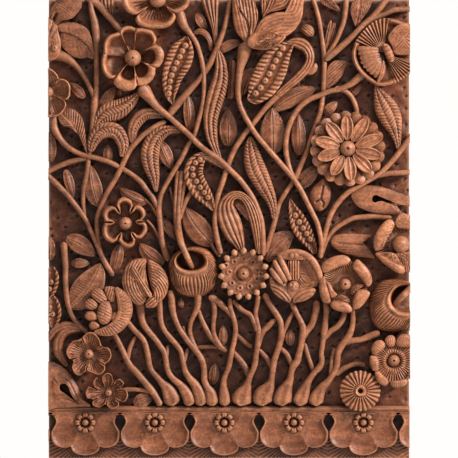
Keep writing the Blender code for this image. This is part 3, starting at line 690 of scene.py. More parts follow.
STEMS = (
    ((31, 27), ((41, 463, 4), (43, 447, 5.5), (46, 435, 7.5), (47.5, 420, 7.5), (48, 405, 5.5), (48, 385, 5.5), (47.5, 367, 5.5),
              (46, 355, 7.5), (45, 342, 6.5), (43.5, 328, 5.5), (42, 316, 5), (40.5, 303, 4.5), (39, 290, 5), (37, 278, 5.5),
              (35, 268, 5), (34.5, 255, 4.5), (36, 240, 4))),
    ((31, 31), ((34, 463, 7.5), (50, 452, 7.5), (58, 443, 6.5), (65, 435, 6.5), (73, 425, 6.5))),
    ((30, 28), ((2, 404, 12), (11, 402, 11), (20, 398, 8.5), (28, 391, 5.5), (35, 382, 5), (41, 371, 5), (46, 359, 5))),
    ((32, 30), ((129, 447, 12), (135, 432, 8.5), (141, 424, 5.5), (147, 415, 5), (151, 404, 4.5), (154, 390, 5),
              (155, 375, 4.5), (154.5, 360, 4), (152, 345, 5), (149, 335, 5), (145, 322, 4.5), (139, 312, 5),
              (132, 298, 5), (124, 285, 5), (117, 273, 5), (112, 262, 5), (110, 250, 6), (111, 238, 5.5),
              (112, 228, 5.5), (113, 218, 6), (116, 207, 6.5), (119, 197, 6.5))),
    ((32, 30), ((182, 463, 5), (178, 440, 5), (174, 425, 5), (169, 412, 5.5), (165, 402, 6), (160, 392, 6.5),
              (152, 380, 5.5), (143, 370, 6.5), (135, 361, 7.5), (127, 352, 8.5), (119, 341, 6.5))),
    ((37, 36), ((197, 415, 13), (195.5, 407, 13.5), (193.5, 399, 11), (191.7, 391, 8), (190.2, 382, 6.5), (189.3, 374, 6), (189, 366, 5.5),
              (190, 356, 5), (194, 345, 5), (200, 334, 5), (207, 323, 5), (216, 312, 5), (225.5, 301, 5),
              (236, 289, 5), (245, 278, 5), (252, 267, 5), (258, 255, 5), (263.5, 244, 5), (268, 234, 5),
              (271, 222, 5), (272, 212, 5), (271, 200, 5.5))),
    ((33, 32), ((230, 364, 7), (226, 360, 7), (215, 348, 5.5), (207, 338, 5.5),
              (200, 329, 5.5), (193, 320, 5.5), (186, 309, 5.5), (181, 298, 5.5), (177, 286, 5.5), (173, 274, 5.5),
              (169, 262, 5.5), (167, 248, 5.5), (166, 235, 5.5), (168, 220, 5.5), (172, 204, 5.5))),
    ((30, 31), ((262, 463, 5), (267, 448, 4.5), (270, 436, 4.5), (272, 423, 4.5), (274, 409, 5), (275, 395, 5),
              (274.5, 380, 5), (274, 368, 5), (273, 358, 5), (270.5, 344, 5), (266, 332, 5), (262, 320, 5),
              (258, 308, 4.5), (254, 298, 5), (250, 289, 5.5), (246, 280, 5.5), (241, 272, 4.5), (235, 263, 5),
              (230, 254, 5), (227.5, 245, 5.5), (225, 235, 5.5), (222, 225, 5.5), (219, 215, 5.5), (216, 205, 5.5))),
    ((30, 31), ((297, 463, 5.5), (296, 447, 5.5), (294, 435, 5), (290, 424, 5), (286, 415, 4.5), (281, 407, 4.5),
              (275, 399, 4.5))),
    ((34, 33), ((340, 463, 7.5), (331, 450, 6.5), (323, 440, 6.5), (315, 433, 6.5), (307, 425, 6), (300, 418, 6.5),
              (292, 411, 6.5), (284, 404, 6.5), (276, 397, 5.5))),
    ((31, 33), ((364, 448, 5.5), (353, 448, 5.5), (344, 447, 5.5), (335, 443, 5.5), (325, 439, 5.5), (314, 433, 5.5))),
    ((34, 33), ((314, 384, 8.5), (306, 377, 7.5), (299, 372, 6), (290, 368, 5.5), (280, 366, 5.5), (270, 362, 5.5),
              (260, 358, 5.5), (252, 352, 5.5), (245, 343, 5.5), (240, 332, 5.5), (237, 320, 5.5), (236.5, 309, 5.5),
              (238, 298, 5.5), (241, 287, 5), (246, 277, 5))),
    ((32, 29), ((285, 369, 5.5), (292, 368, 5.5), (299, 364, 5), (304, 357, 5), (307, 347, 5), (307, 334, 5))),
    ((34, 33), ((364, 325, 5.5), (358, 317, 5.5), (352, 309, 5.5), (345, 300, 5.5), (337, 291, 5.5), (328, 283, 5.5),
              (318, 277, 5.5), (308, 271, 5.5), (298, 265, 5.5), (290, 257, 5.5), (283, 247, 5.5), (279, 237, 5.5),
              (276, 226, 5.5), (273, 214, 5.5), (270, 200, 5.5))),
    ((30, 31), ((364, 286, 5.5), (352, 285, 5.5), (340, 284.5, 5.5), (326, 282, 5.5))),
    ((31, 30), ((3, 350, 9.5), (5, 340, 8.5), (6, 330, 7.5), (11, 320, 6), (18, 312, 5.5), (27, 306, 5), (37, 302, 5),
              (47, 300, 5), (60, 296, 5), (72, 290, 5), (82, 284, 5), (92, 276, 5.5), (98, 268, 5.5),
              (104, 260, 5.5), (109, 250, 5.5))),
    ((27, 28), ((-4, 284, 5.5), (10, 291.5, 5.5), (25, 297, 5.5), (40, 300, 5))),
    ((32, 29), ((117, 336, 5.5), (110, 333, 5.5), (102, 328, 5.5), (94, 322, 5.5), (88, 316, 5.5), (82, 309, 5.5),
              (77, 300, 5.5), (71, 287, 5.5), (65, 276, 5.5), (60, 268, 5.5), (55, 258, 5), (51, 248, 5),
              (48.5, 238, 5), (48.5, 228, 5.5), (49, 216, 5.5), (52, 205, 5.5), (58, 193, 5.5), (65, 182, 5.5))),
    ((37, 33), ((92, 372, 16), (97.5, 364, 12.5), (102.5, 357.5, 9), (109, 350, 7), (121, 340, 5.5),
              (130, 332, 5.5), (140, 323, 5.5), (150, 313, 5.5), (160, 305, 5.5), (168, 300, 5.5), (175, 294, 5.5),
              (182, 287, 5.5), (190, 279, 5.5), (197, 270, 5.5), (203, 261, 5.5), (208, 250, 5.5), (212, 238, 5.5),
              (213.5, 226, 5.5), (214, 213, 5.5), (214, 202, 5.5))),
    ((31, 31), ((-3, 284, 5.5), (5, 277, 5.5), (12, 270, 5.5), (19, 263, 5), (26, 254, 5), (32, 246, 5), (38, 237, 4.5),
              (42, 228, 4.5), (46, 219, 4.5), (50, 210, 5))),
    ((31, 28), ((15, 216, 7.5), (16, 205, 6.5), (17, 194, 6), (17, 182, 5.5), (17.5, 169, 5.5), (19, 157, 5.5),
              (21, 149, 5.5), (24, 142, 5), (28, 136, 5), (34, 130, 5), (39, 125, 5))),
    ((26, 28), ((96, 259, 2.6), (103, 252, 3), (109, 242, 4))),
    ((26, 28), ((98, 238, 2.6), (105, 230, 3), (112, 218, 4))),
    ((24, 28), ((121, 271, 2.6), (123, 262, 2.6), (127, 248, 2.6))),
    ((30, 31), ((144, 268, 5.5), (140, 262, 5.5), (136, 255, 5), (133, 247, 5), (130, 238, 5))),
    ((29, 29), ((342, 240, 5.5), (325, 241.5, 5.5), (315, 241, 5.5), (305, 240, 5), (296, 236, 5), (288, 231, 5),
              (281, 224, 5), (276, 215, 5), (272, 203, 5))),
    ((27, 28), ((162, 215, 4), (166, 208, 4), (171, 201, 4))),
    ((30, 31), ((129, 287, 5), (127.5, 272, 4), (126.5, 258, 4), (126.5, 244, 4), (128, 232, 4.5))),
    ((31, 32), ((133, 287, 5), (131.5, 272, 4.5), (130, 258, 4.5), (129.5, 244, 5), (129, 232, 5.5))),
    ((30, 31), ((137, 285, 4), (135.5, 272, 4), (133.5, 262, 4), (132, 250, 3))),
    ((31, 32, 44, 45, 36), ((129.5, 244, 6.5), (128.5, 236, 7.5), (130, 225, 7), (132.5, 215, 6.5), (136, 207, 6),
                            (139.5, 199, 5.5), (144, 189, 5.5))),
    ((42, 45, 34), ((366, 176, 7.5), (358, 168, 7), (350, 160, 6.5), (343, 151, 5.5))),
)
ROOTS = (
    ((30, 31), ((62, 129, 5.5), (68, 120, 5.5), (72, 112, 5.5), (75, 106, 5.5), (78, 99, 6), (82, 92, 6.5), (88, 86, 6.5),
              (93, 80, 6.5), (98, 74, 7), (103, 68, 7), (107, 62, 6.5), (112, 53, 6.5))),
    ((26, 29), ((87, 122, 4), (83, 115, 4.5), (80.5, 108, 4.5), (79, 99, 4.5))),
    ((26, 28), ((107, 66, 5.5), (92, 68.5, 4.5), (80, 69, 4.5), (72, 68, 4.5))),
    ((30, 32), ((76, 140, 5.5), (85, 129, 5.5), (92, 122, 5.5), (96, 116, 5.5), (98, 109, 5.5), (99.5, 102, 5.5), (100.5, 95, 5.5),
              (103, 88, 5), (108, 82, 5.5), (113, 76, 7), (118, 70, 12), (122, 62, 16), (124, 53, 17))),
    ((31, 32), ((90, 158, 10), (91.5, 150, 9), (92.5, 142, 7), (95, 134, 6.5), (100, 127, 6), (106, 120, 5.5),
              (111, 113, 5.5), (115, 107, 5.5), (117, 100, 5.5), (118, 92, 5.5), (120, 86, 5.5), (124, 80, 6),
              (130, 75, 7), (135, 69, 10), (139, 62, 11.5), (141, 53, 12))),
    ((26, 29), ((119, 113, 4), (118, 106, 4.5), (117, 99, 4.5))),
    ((31, 32), ((110, 160, 6.5), (111, 150, 6), (111.5, 142, 5.5), (113, 134, 5), (117, 126, 5), (122, 120, 5.5),
              (128, 113, 5.5), (132, 107, 5), (134, 98, 5), (135.5, 91, 5.5), (137, 86, 6), (141, 80, 7),
              (145, 75, 9), (148.5, 69, 11), (151, 62, 12), (152, 53, 12.5))),
    ((26, 29), ((139, 110, 4), (137, 104, 4.5), (135, 97, 4.5))),
    ((31, 32), ((121, 168, 6.5), (122.5, 160, 7), (123, 153, 7), (124.5, 145, 6), (127, 138, 5), (130, 131, 5),
              (135, 123, 5.5), (140, 116, 5.5), (145, 110, 6), (150, 104, 6), (153.5, 97, 6), (155, 90, 6),
              (155.3, 84, 6), (155.5, 78, 6.5), (158, 72, 7), (161.5, 65, 11), (164, 53, 13))),
    ((31, 30), ((149, 166, 7), (149, 158, 7), (148, 150, 6.5), (145, 143, 5), (142, 136, 4.5), (141, 128, 4.5),
              (142, 121, 5), (145, 113, 5.5), (149, 105, 5.5))),
    ((27, 28), ((134, 132, 2.5), (137, 124, 2.5), (140, 116, 2.5))),
    ((31, 32), ((181, 160, 4.5), (181.5, 150, 5), (184, 142, 5), (186, 134, 5), (186.5, 126, 5), (185, 117, 5),
              (183, 108, 5), (181, 98, 5.5), (179.5, 91, 5.5), (177, 85, 5), (175, 79, 5.5), (174.5, 72, 7),
              (175, 64, 10.5), (176, 53, 11))),
    ((27, 28), ((149, 149, 4.5), (153, 138, 5), (157, 130, 5), (161, 123, 5.5), (166, 117, 5.5), (172, 111, 5.5),
              (178, 107, 4.5))),
    ((29, 28), ((163, 163, 5.5), (165, 154, 5.5), (165.5, 145, 5), (164.5, 136, 4.5), (164.5, 127, 4.5), (167, 119, 5),
              (172, 111, 5.5))),
    ((31, 30), ((160, 162, 7), (167, 158, 7), (174, 152, 6), (179, 147, 5), (185, 140, 5))),
    ((23, 24), ((148, 110.5, 4.5), (162, 111.5, 4.5), (178, 111, 4.5))),
    ((31, 32), ((209, 163, 5.5), (208, 155, 5), (206.5, 145, 4.5), (208, 136, 4.5), (209.5, 129, 5), (209, 121, 5.5),
              (208.5, 113, 5.5), (207, 104, 5.5), (206, 96, 6), (204, 89, 5.5), (201, 83, 6), (199, 77, 7),
              (197, 71, 11), (194, 64, 18), (192, 58, 21), (191, 53, 20))),
    ((30, 31), ((184, 158, 4.5), (191, 150, 5), (196, 146.5, 4.5), (201, 143.5, 5), (205, 136, 5), (208.5, 127, 5.5))),
    ((28, 30), ((226, 139, 5.5), (219, 132, 6), (214, 127, 6), (210.5, 119, 5.5), (208.5, 111, 5.5))),
    ((24, 24), ((203, 111, 4.5), (196, 116, 5), (190, 121, 5), (184, 126, 4.5))),
    ((27, 28), ((181, 110, 4.5), (187, 103, 5.5), (192, 97, 6), (197, 90, 6.5), (200, 82, 6))),
    ((31, 32), ((215, 165, 6.5), (219, 157, 6), (224, 149, 6), (228, 143, 6), (231, 137, 6), (232, 131, 5.5),
              (232, 124, 6), (231, 117, 6), (229, 110, 6), (227, 104, 6), (225, 98, 6.5), (224, 91, 6),
              (223, 84, 6), (222, 78, 7), (219, 71, 13), (214.5, 64, 19), (213, 58, 20), (213, 53, 19))),
    ((27, 29), ((245, 147, 4.5), (240.5, 140, 4.5), (237, 133, 5), (234, 126, 5), (232, 117, 5))),
    ((26, 28), ((209, 109, 4.5), (215, 103, 5), (220, 97, 6), (223.5, 90, 5.5))),
    ((31, 32), ((241, 160, 5.5), (244, 152, 5.5), (248, 144, 5), (252, 136, 5.5), (254, 129, 7), (253, 122, 7),
              (252, 114, 6), (250, 106, 6.5), (248, 98, 7), (244, 92, 7), (242, 86, 6), (241, 80, 7),
              (238, 73, 11), (235, 66, 16.5), (233, 58, 19), (233, 53, 18))),
    ((31, 30), ((267, 158, 7), (267, 150, 7), (265.5, 143, 7), (262.5, 134, 6.5), (257, 127, 7), (253, 120, 6.5))),
    ((26, 28), ((230, 111, 4.5), (236, 106, 5), (240, 100, 5.5), (244, 92, 6))),
    ((31, 32), ((276, 160, 5.5), (277, 148, 6), (276, 138, 5.5), (275, 129, 7), (274, 121, 5.5), (273, 113, 5),
              (272, 105, 5), (272.5, 98, 5.5), (270.5, 92, 6.5), (265, 86, 6), (260, 79, 6.5), (257, 73, 9),
              (254, 66, 13), (251, 58, 15), (250, 53, 15))),
    ((29, 30), ((296, 149, 6), (293, 139, 6), (288, 132, 6), (281, 127, 5.5), (275, 120, 5.5))),
    ((26, 27), ((255, 115, 4.5), (258, 105, 5), (260.5, 98, 4.5), (263, 91, 5), (266, 86, 5.5))),
    ((31, 32), ((303, 150, 4.5), (303.5, 139, 5), (302.5, 131, 5.5), (300, 124, 7), (296, 118, 7), (291, 111, 7),
              (288.5, 104, 6), (288, 98, 6), (287, 92, 6.5), (284, 85, 6), (279, 78, 6.5), (273.5, 72, 9),
              (269, 65, 13), (266.5, 58, 15), (266, 53, 15))),
    ((32, 31), ((330, 126, 7), (320, 122, 7), (312, 119, 6), (304, 118, 6), (295, 116, 6.5))),
    ((27, 29), ((316, 93, 5.5), (308, 94.5, 5.5), (300, 92.5, 5.5), (293, 89, 6), (286, 84, 6))),
    ((28, 30), ((286, 110, 5.5), (283, 100, 5), (282, 90, 5), (282, 82, 5.5))),
)

# Leaves: crest, face, (base u, v, tip u, v, width), sideways bend
LEAVES = (
    (26, plain_face, (36, 360, 21, 375, 10), 0),
    (28, plain_face, (168, 405, 194, 416, 10), 2),
    (25, plain_face, (51, 347, 66, 371, 12), 0), (25, plain_face, (59, 295, 59, 313, 10), 0),
    (25, plain_face, (17, 288, 25, 260, 10), 0), (28, veined_face, (50, 252, 42, 293, 18), 2),
    (26, plain_face, (139, 361, 142, 322, 12), 0), (27, veined_face, (111, 316, 123, 289, 14), 0),
    (26, fine_face, (179, 312, 179, 349, 18), 0), (28, fringed_face, (224, 304, 223, 350, 25), 0),
    (27, fringed_face, (225, 348, 268, 369, 17), 3), (26, fringed_face, (250, 303, 249, 344, 15), 0),
    (26, veined_face, (248, 270, 270, 293, 15), 0), (28, plain_face, (18, 220, 46, 202, 18), 2),
    (24, plain_face, (23, 195, 41, 195, 10), 0), (30, veined_face, (22, 152, 52, 195, 29), -4),
    (25, plain_face, (71, 213, 64, 182, 13), 0), (27, plain_face, (98, 256, 71, 270, 13), 3),
    (25, plain_face, (115, 237, 128, 218, 10), 0), (27, plain_face, (164, 214, 136, 251, 24), 3),
    (27, plain_face, (115, 195, 91, 215, 16), 3), (28, fine_face, (217, 198, 245, 225, 23), 3),
    (27, plain_face, (174, 113, 174, 133, 9), 0), (24, plain_face, (164, 74, 166, 95, 11), 0),
    (25, plain_face, (241, 113, 241, 129, 10), 0), (27, veined_face, (85, 55, 104, 62, 14), 0),
    (26, veined_face, (2, 296, 2, 328, 12), 0),
    (25, plain_face, (148, 444, 157, 427, 10), 0), (24, plain_face, (133, 150, 131, 161, 6), 0),
    (25, plain_face, (301, 362, 311, 374, 9), 0),
    (26, plain_face, (275, 344, 288, 356, 10), 0), (26, fine_face, (1, 198, 1, 222, 12), 0),
)

# Ribbons, ropes and pods: crest, face, the points u, v, width, and the places of a pod's seeds with their radius
THREE_CORDS = rope_face((1.6, 1.3, 1.6))
RIBBONS = (
    (34, rope_face((0.5, 0.9, 1.7), rib=2.8), ((168.5, 408, 2), (170.5, 401, 8), (172, 391, 12), (171.5, 379, 16),
                                               (168.5, 367, 18), (164.5, 353, 17), (161.5, 338, 14.5), (162.5, 322, 12),
                                               (166, 310, 8), (171, 299, 4))),
    (32, THREE_CORDS, ((47, 330, 4), (52, 339, 14), (60, 345, 19.5), (70, 348.5, 19.5), (79, 354, 15), (86, 360, 9),
                       (90.5, 366, 1.5))),
    (33, rope_face((1.0, 1.3, 1.6), rib=2.0), ((42, 306, 6), (45, 317, 12), (51, 325, 15), (60, 328, 15.5),
                                               (68, 325.5, 15), (73.5, 317, 13), (75, 308, 10), (73, 301, 6))),
    (32, rope_face((0.3, 0.5, 1.5), rib=1.6), ((117, 342, 7), (108, 344, 10), (97, 343.5, 12), (89, 337.5, 13),
                                               (84.5, 329, 11), (83.5, 320, 8), (83.5, 314, 2))),
    (34, rope_face((1.5, 1.2, 1.6)), ((132, 327, 5), (122, 328, 9), (112, 324.5, 14), (104.5, 316, 17),
                                      (101.3, 304, 18.5), (102.5, 292, 16), (105.5, 280, 11), (107.5, 266, 3))),
    (34, THREE_CORDS, ((326, 373, 2), (328.5, 366, 9), (332.5, 357, 18), (337.5, 347, 23), (342, 337, 21),
                       (345.5, 327, 14), (347.5, 318, 8), (349, 308, 4))),
    (34, THREE_CORDS, ((201, 321, 3), (201.5, 314, 11), (203, 303, 17), (206, 291, 20), (211, 280, 19),
                       (216, 270, 16), (221, 260, 12), (224, 250, 8), (225, 239, 5))),
    (28, ribbed_face(2), ((40, 128, 6), (30, 129, 8), (20, 128, 9), (13, 123, 9.5), (9.5, 115, 10), (10, 107, 9.5),
                          (14, 99, 8), (19, 92, 6))),
    (28, ribbed_face(2), ((-5, 117, 7), (0, 121, 7), (5, 127, 7.5), (11, 131, 8), (20, 133, 8), (29, 131, 7),
                          (37, 127, 5))),
    (35, ribbed_face(4, 1.6), ((193.5, 204, 5), (190.5, 213, 11), (186, 223, 18), (182, 233, 21.5), (178, 244, 20),
                               (177.5, 254, 15), (183, 261.5, 9.5), (191, 262.5, 8), (198, 257, 9), (203, 247, 11),
                               (206.5, 235, 11), (208.5, 222, 9), (210, 204, 6))),
    (30, fine_face, ((184, 259, 4), (190, 255, 10), (197, 248, 12), (203, 238, 8))),
    (33, ribbed_face(4, 0.9), ((147, 297, 6), (152, 301, 9), (158, 302.5, 11), (164, 300.5, 12), (170, 296, 10),
                               (177, 290, 5))),
    (28, ribbed_face(3, 1.0), ((162, 407, 4), (161, 416, 5), (157, 423, 6), (151, 426, 6), (145, 424, 4))),
    (36, ribbed_face(3, 1.3), ((237, 414, 3), (243.5, 415, 8), (250.5, 413.7, 11.5), (256.5, 410, 10.5), (260.2, 403.5, 9),
                               (260.3, 396.5, 8.5), (257.3, 389.5, 8.5), (251.5, 382.5, 8.5), (244.5, 376, 8),
                               (236, 369, 7.5), (228, 362, 7))),
    (30, ribbed_face(4, 1.8), ((160, 470, 22), (161.5, 456, 18), (163.3, 444, 12.5), (164.8, 434, 8), (166, 424, 5),
                               (166.5, 412, 3))),
    (27, ribbed_face(4, 1.6), ((62.5, 440, 3), (60.5, 446, 9), (58.5, 453, 14), (57.5, 468, 17))),
)
PODS = (
    (34, ((124.5, 352.5, 1.5), (121.8, 361, 10), (121.8, 370, 16), (123, 379, 20), (126, 388, 24), (129.5, 395.5, 26),
          (132, 402, 25.5), (134.5, 409, 22), (136.5, 415, 14), (138, 421, 3)),
     ((136.5, 411.5), (133.3, 406.3), (130.7, 400.5), (127.6, 394.5), (125, 388.3), (122.7, 382), (121.2, 376),
      (120.2, 369.8), (119.8, 364)), 3.4),
    (37, ((199, 357, 8), (205, 361, 18), (211.5, 369, 27), (217.5, 378, 30), (222.5, 388, 30), (227, 397, 27),
          (233, 405.5, 20), (239, 411, 12), (245, 415, 2)),
     ((233.3, 409), (229.7, 402.7), (226.4, 396.4), (223.2, 390), (219.9, 383.2), (216, 376.5), (211.3, 369.5),
      (206.3, 364)), 3.6),
    (35, ((157, 303, 5), (152, 300, 12), (147, 294, 17), (144.5, 286, 19), (146, 278, 19.5),
          (150, 270, 19), (155, 263, 16.5), (160, 256, 11), (165, 247, 3)),
     ((151, 298), (146.5, 295), (143.5, 289), (144, 282.5), (147.5, 276.5), (151.5, 270.5), (155.5, 265.5),
      (159, 260.5)), 3.2),
    (33, ((241, 259, 1.5), (243, 251, 8), (247, 241, 15), (251.5, 231, 18), (257, 221.5, 16), (262, 213, 11),
          (266, 204, 5)),
     ((246, 242.5), (250, 236), (254, 230), (257.5, 224.5), (261, 219)), 3.5),
    (29, ((3, 192, 5), (4, 183, 13), (2.5, 175, 15), (0, 166, 13), (-1, 160, 6)), ((2.5, 176), (1, 169)), 3.0),
    (29, ((3, 163, 5), (5, 155, 12), (6, 146, 14), (5, 138, 12), (4, 130, 5)), ((1, 151), (4, 144)), 3.0),
)


def stems():
    return [stem(*row) for row in STEMS]


def roots():
    return [root(*row) for row in ROOTS]


def leaves():
    return [leaf(crest, face, shape, bend) for crest, face, shape, bend in LEAVES]


def ribbons():
    return [ribbon(*row) for row in RIBBONS]


def pods():
    made = []
    for crest, points, seeds, radius in PODS:
        made.append(ribbon(crest, pod_face(), points, around=37))
        made += [ball(u, v, radius, crest - 0.3, hole=0.7, around=16, rings=8) for u, v in seeds]
    return made


def flowers():
    """The open flower heads with rolled petals, each with its ball."""
    return [
        open_flower((84.5, 399), ((107, 413), (108, 417), (107, 421), (104, 425.5), (100, 427.2), (94, 428.5), (88, 428.5),
                                  (84, 430), (79, 430.7), (74, 429), (71, 425.5), (66, 423.3), (61, 421.5), (57, 417),
                                  (55.5, 411), (55.3, 405), (54, 401), (53, 395), (53.5, 389), (56, 383), (60, 379),
                                  (65.5, 378), (65.5, 374), (68.5, 370), (74, 367.3), (80, 366.3), (86, 368), (88.5, 371.5),
                                  (93, 371.5), (99, 373), (104, 377.5), (106.5, 383), (107, 388.5), (110.5, 390),
                                  (113.5, 394), (115.3, 399), (115, 405), (112.5, 409.5)),
                    (32, -24, -81, -133, 172, 117, 84), (4.5, 8, 8, 10.5, 4.5, 4, 4), 43, 27, wall=0.62, fine=78, wrap=0.12, split=1.6),
        open_flower((109, 458), ((141.5, 458), (140, 451.5), (136, 447), (130, 443.5), (126.5, 443), (127, 439),
                                 (125, 434.5), (121, 430.5), (115, 428.3), (108, 427.8), (100, 428), (93, 429.8),
                                 (88.5, 433), (87, 437.5), (88, 441.3), (84, 442), (79, 444.5), (75, 450), (73, 458),
                                 (76, 472), (92, 486), (110, 490), (130, 486), (140, 472)),
                    (-42, -141, -217, 40, 95), (6, 5.5, 6.5, 5, 5), 43, 27, wall=0.5, fine=90, cuts=0.8, wrap=0.2, split=1.8),
        open_flower((0, 365), ((22.3, 365), (21.8, 361), (19.5, 358), (16.5, 357), (18, 354), (18, 350.5), (15.5, 346),
                               (12, 342.5), (8, 340.5), (3, 340), (-8, 342), (-20, 352), (-23, 366), (-18, 380),
                               (-8, 388), (0, 389), (5, 387), (9, 383), (11, 379), (16, 378), (20, 375.5), (22.3, 371)),
                    (50, -26, -80, 110, 180), (2.2, 2.4, 2.2, 2.2, 2.2), 38, 29, wall=0.25, fine=56, cuts=0.7, wrap=0.3, split=1.4),
        open_flower((77, 234.5), ((94, 238), (97, 243), (95.5, 249), (90.5, 252.7), (85, 252.5), (82.5, 257.5), (76, 260.7),
                                  (70, 258), (67, 251.5), (62, 251.5), (56.5, 248.5), (54.8, 243), (56.5, 236.5),
                                  (54.3, 230), (54.7, 223.5), (58, 218), (64, 215.3), (69.5, 217.5), (74, 213),
                                  (80, 210.3), (85.5, 213), (87.5, 219), (93, 220), (98, 226), (98.5, 232), (95.5, 236.5)),
                    (5, 64, 118, 176, 245, 304), (4.6, 4.4, 4.6, 4.8, 4.4, 4.2), 42, 27, wall=0.6, wrap=0.62, fine=48,
                    cuts=0.3, split=3),
        open_flower((40.5, 104.5), ((54, 112.5), (51, 120), (45.5, 126), (39, 126), (34, 121.5), (30, 118.8), (23.5, 116.8),
                                    (18.3, 108.5), (20, 101.5), (25, 97.5), (24, 91), (27, 85), (32, 83.5), (38, 87.5),
                                    (44, 86), (51, 84), (56.5, 88.5), (57, 94.5), (61, 98), (63.3, 104), (60.5, 110.5)),
                    (30, 112, 196, 262, 325), (1.6, 1.6, 1.8, 1.6, 1.8), 40, 30, wall=0.12, wrap=0.9, fine=40, cuts=0.9,
                    split=2.2),
        open_flower((60, 66), ((54, 76), (54, 82), (58, 86), (63, 84.5), (65.5, 78), (71, 80), (75.5, 76), (73, 70.5),
                               (78, 69), (79.5, 63), (76.5, 57.5), (71, 57.5), (70, 52.5), (63, 50), (57, 54.5),
                               (51, 51.5), (44.5, 54), (44, 60), (39, 61), (37.5, 67), (40.5, 72.5), (46, 72),
                               (45, 77), (48.5, 81.5)),
                    (25, 63, 120, 160, 205, 260, 320), (1.6,) * 7, 39, 31, wall=0.15, wrap=1.0, fine=30, cuts=0.7, split=2),
        ball(84.3, 399, 8.3, 42, hole=1.0), ball(109, 457.5, 8.3, 41), ball(0, 365.5, 5.2, 36),
        ball(77, 234.5, 6.5, 41, hole=1.0), ball(40.5, 104.5, 5, 38, hole=0.9), ball(60, 66, 3.6, 37, hole=0.8),
    ]


def edge_flower():
    """The flower low on the right edge: thick rolled petals round a pleated dish, with a ring of beads and a ball."""
    def dish(rho, angle):
        rays = lines(44 * angle / TAU, 1.5) * smooth(rho, 0.52, 0.6)
        ring = 1.4 * lines(26 * angle / TAU, 1.0) * hollow(rho - 0.46, 0.07)
        return 33 + 2.5 * rho - 1.3 * rays + ring - 3.0 * (1 - smooth(rho, 0.25, 0.42))

    made = [bloom(344, 98, 21, lambda angle: np.ones_like(angle), dish, around=210, rings=24),
            ball(344, 98, 6, 38, hole=1.2, around=32, rings=12)]
    for outline in (
            ((322.5, 105), (321.5, 111), (325, 117), (331, 118.5), (335.5, 115), (334, 110), (329.5, 106), (326, 103)),
            ((321, 103), (326, 102.5), (329, 98), (329, 91), (327.5, 87.5), (323, 88.5), (320, 94), (319.6, 99)),
            ((325, 86.5), (329, 87.5), (333, 84), (337.5, 80), (338.5, 76), (335, 73), (330, 75), (326, 80)),
            ((341, 78), (347, 78.5), (354, 80.5), (357.5, 78), (355, 73.5), (348, 71), (342.5, 71.8), (340.3, 75)),
            ((336, 114.5), (335, 119.5), (339, 123.3), (344, 122.5), (345.5, 117), (343.5, 112.5), (339.5, 112)),
            ((347, 113), (346.5, 119), (351, 124), (357, 124.3), (364, 121), (366, 114), (357, 111.5)),
            ((359.5, 80), (358, 85), (362, 89), (372, 90), (372, 76), (364, 75.5))):
        centre = np.mean(outline, axis=0)
        facing = 180 + math.degrees(math.atan2(centre[1] - 98, centre[0] - 344))
        made.append(petal(40.5, outline, 2.6, cuts=ruled(facing, 2.0), depth=0.45))
    return made


def daisy(u, v):
    """The daisy: a ring of short petals behind ten long ones, and a ball in a deep hollow."""
    def outline(angle):
        return 1 - 0.07 * np.abs(petal_side(angle, 20, 4)) ** 2

    def back(rho, angle):
        across = petal_side(angle, 20, 4)
        hollow_middle = 7 * (1 - smooth(rho, 0.2, 0.34))
        return 36 - 2.2 * across**2 * smooth(rho, 0.4, 0.7) - 3 * (1 - smooth(rho, 0.4, 0.9)) - hollow_middle

    def front(run, across, half):
        out = np.abs(across)
        size = np.minimum(half / 5, 1)
        bed = 0.7 * lines(across * 1.45, 2) - 1.9
        return size * np.where(out > 0.68, -1.3 * ((out - 0.84) / 0.16) ** 2, bed)

    made = [bloom(u, v, 37.5, outline, back, around=200, rings=22), ball(u, v, 8.2, 43, hole=1.8, around=36, rings=14)]
    for turn, reach in ((92, 33), (57, 35), (19, 35), (-13, 33.5), (-45, 32.5), (-84, 32), (-121, 30.5), (198, 31),
                        (165, 33), (129, 33)):
        c, s = math.cos(math.radians(turn)), math.sin(math.radians(turn))
        line, run = leaf_stations(u + 8.5 * c, v + 8.5 * s, u + reach * c, v + reach * s, 12.8, 0, 0.25)
        made.append(band(line, run, (38.5, 41, 42, 42, 41), front, around=21))
    return made


def bead_ring_flower():
    """A stippled disc in a ring of long beads, round a drilled ball."""
    spots = [(186, 195.5), (194.5, 198), (203, 195), (207, 188), (206.5, 180), (200, 173), (191, 171.5), (184, 176),
             (181.5, 186), (188.5, 201), (210, 184), (178.5, 192)]

    def dish(rho, angle):
        x, y = 195 + 20 * rho * np.cos(angle), 184.5 + 20 * rho * np.sin(angle)
        level = 33.5 - 3 * (1 - rho**2) + 0.25 * np.sin(x * 2.3) * np.sin(y * 2.1 + x)
        for spot in spots:
            away = np.hypot(x - spot[0], y - spot[1])
            level = level + 1.1 * hollow(away - 1.9, 0.75) - 1.3 * hollow(away, 0.8)
        return level + 1.2 * hollow(rho - 0.42, 0.06)

    made = [bloom(195, 184.5, 22, lambda angle: np.ones_like(angle), dish, around=150, rings=26),
            ball(194.3, 184.5, 5.8, 38, hole=1.2, around=32, rings=12)]
    for k in range(15):
        turn = 90 + 24 * k
        c, s = math.cos(math.radians(turn)), math.sin(math.radians(turn))
        made.append(bead(194.5 + 22.3 * c, 184.5 + 23 * s, 10.2, 7.4, turn + 90, 41))
    return made


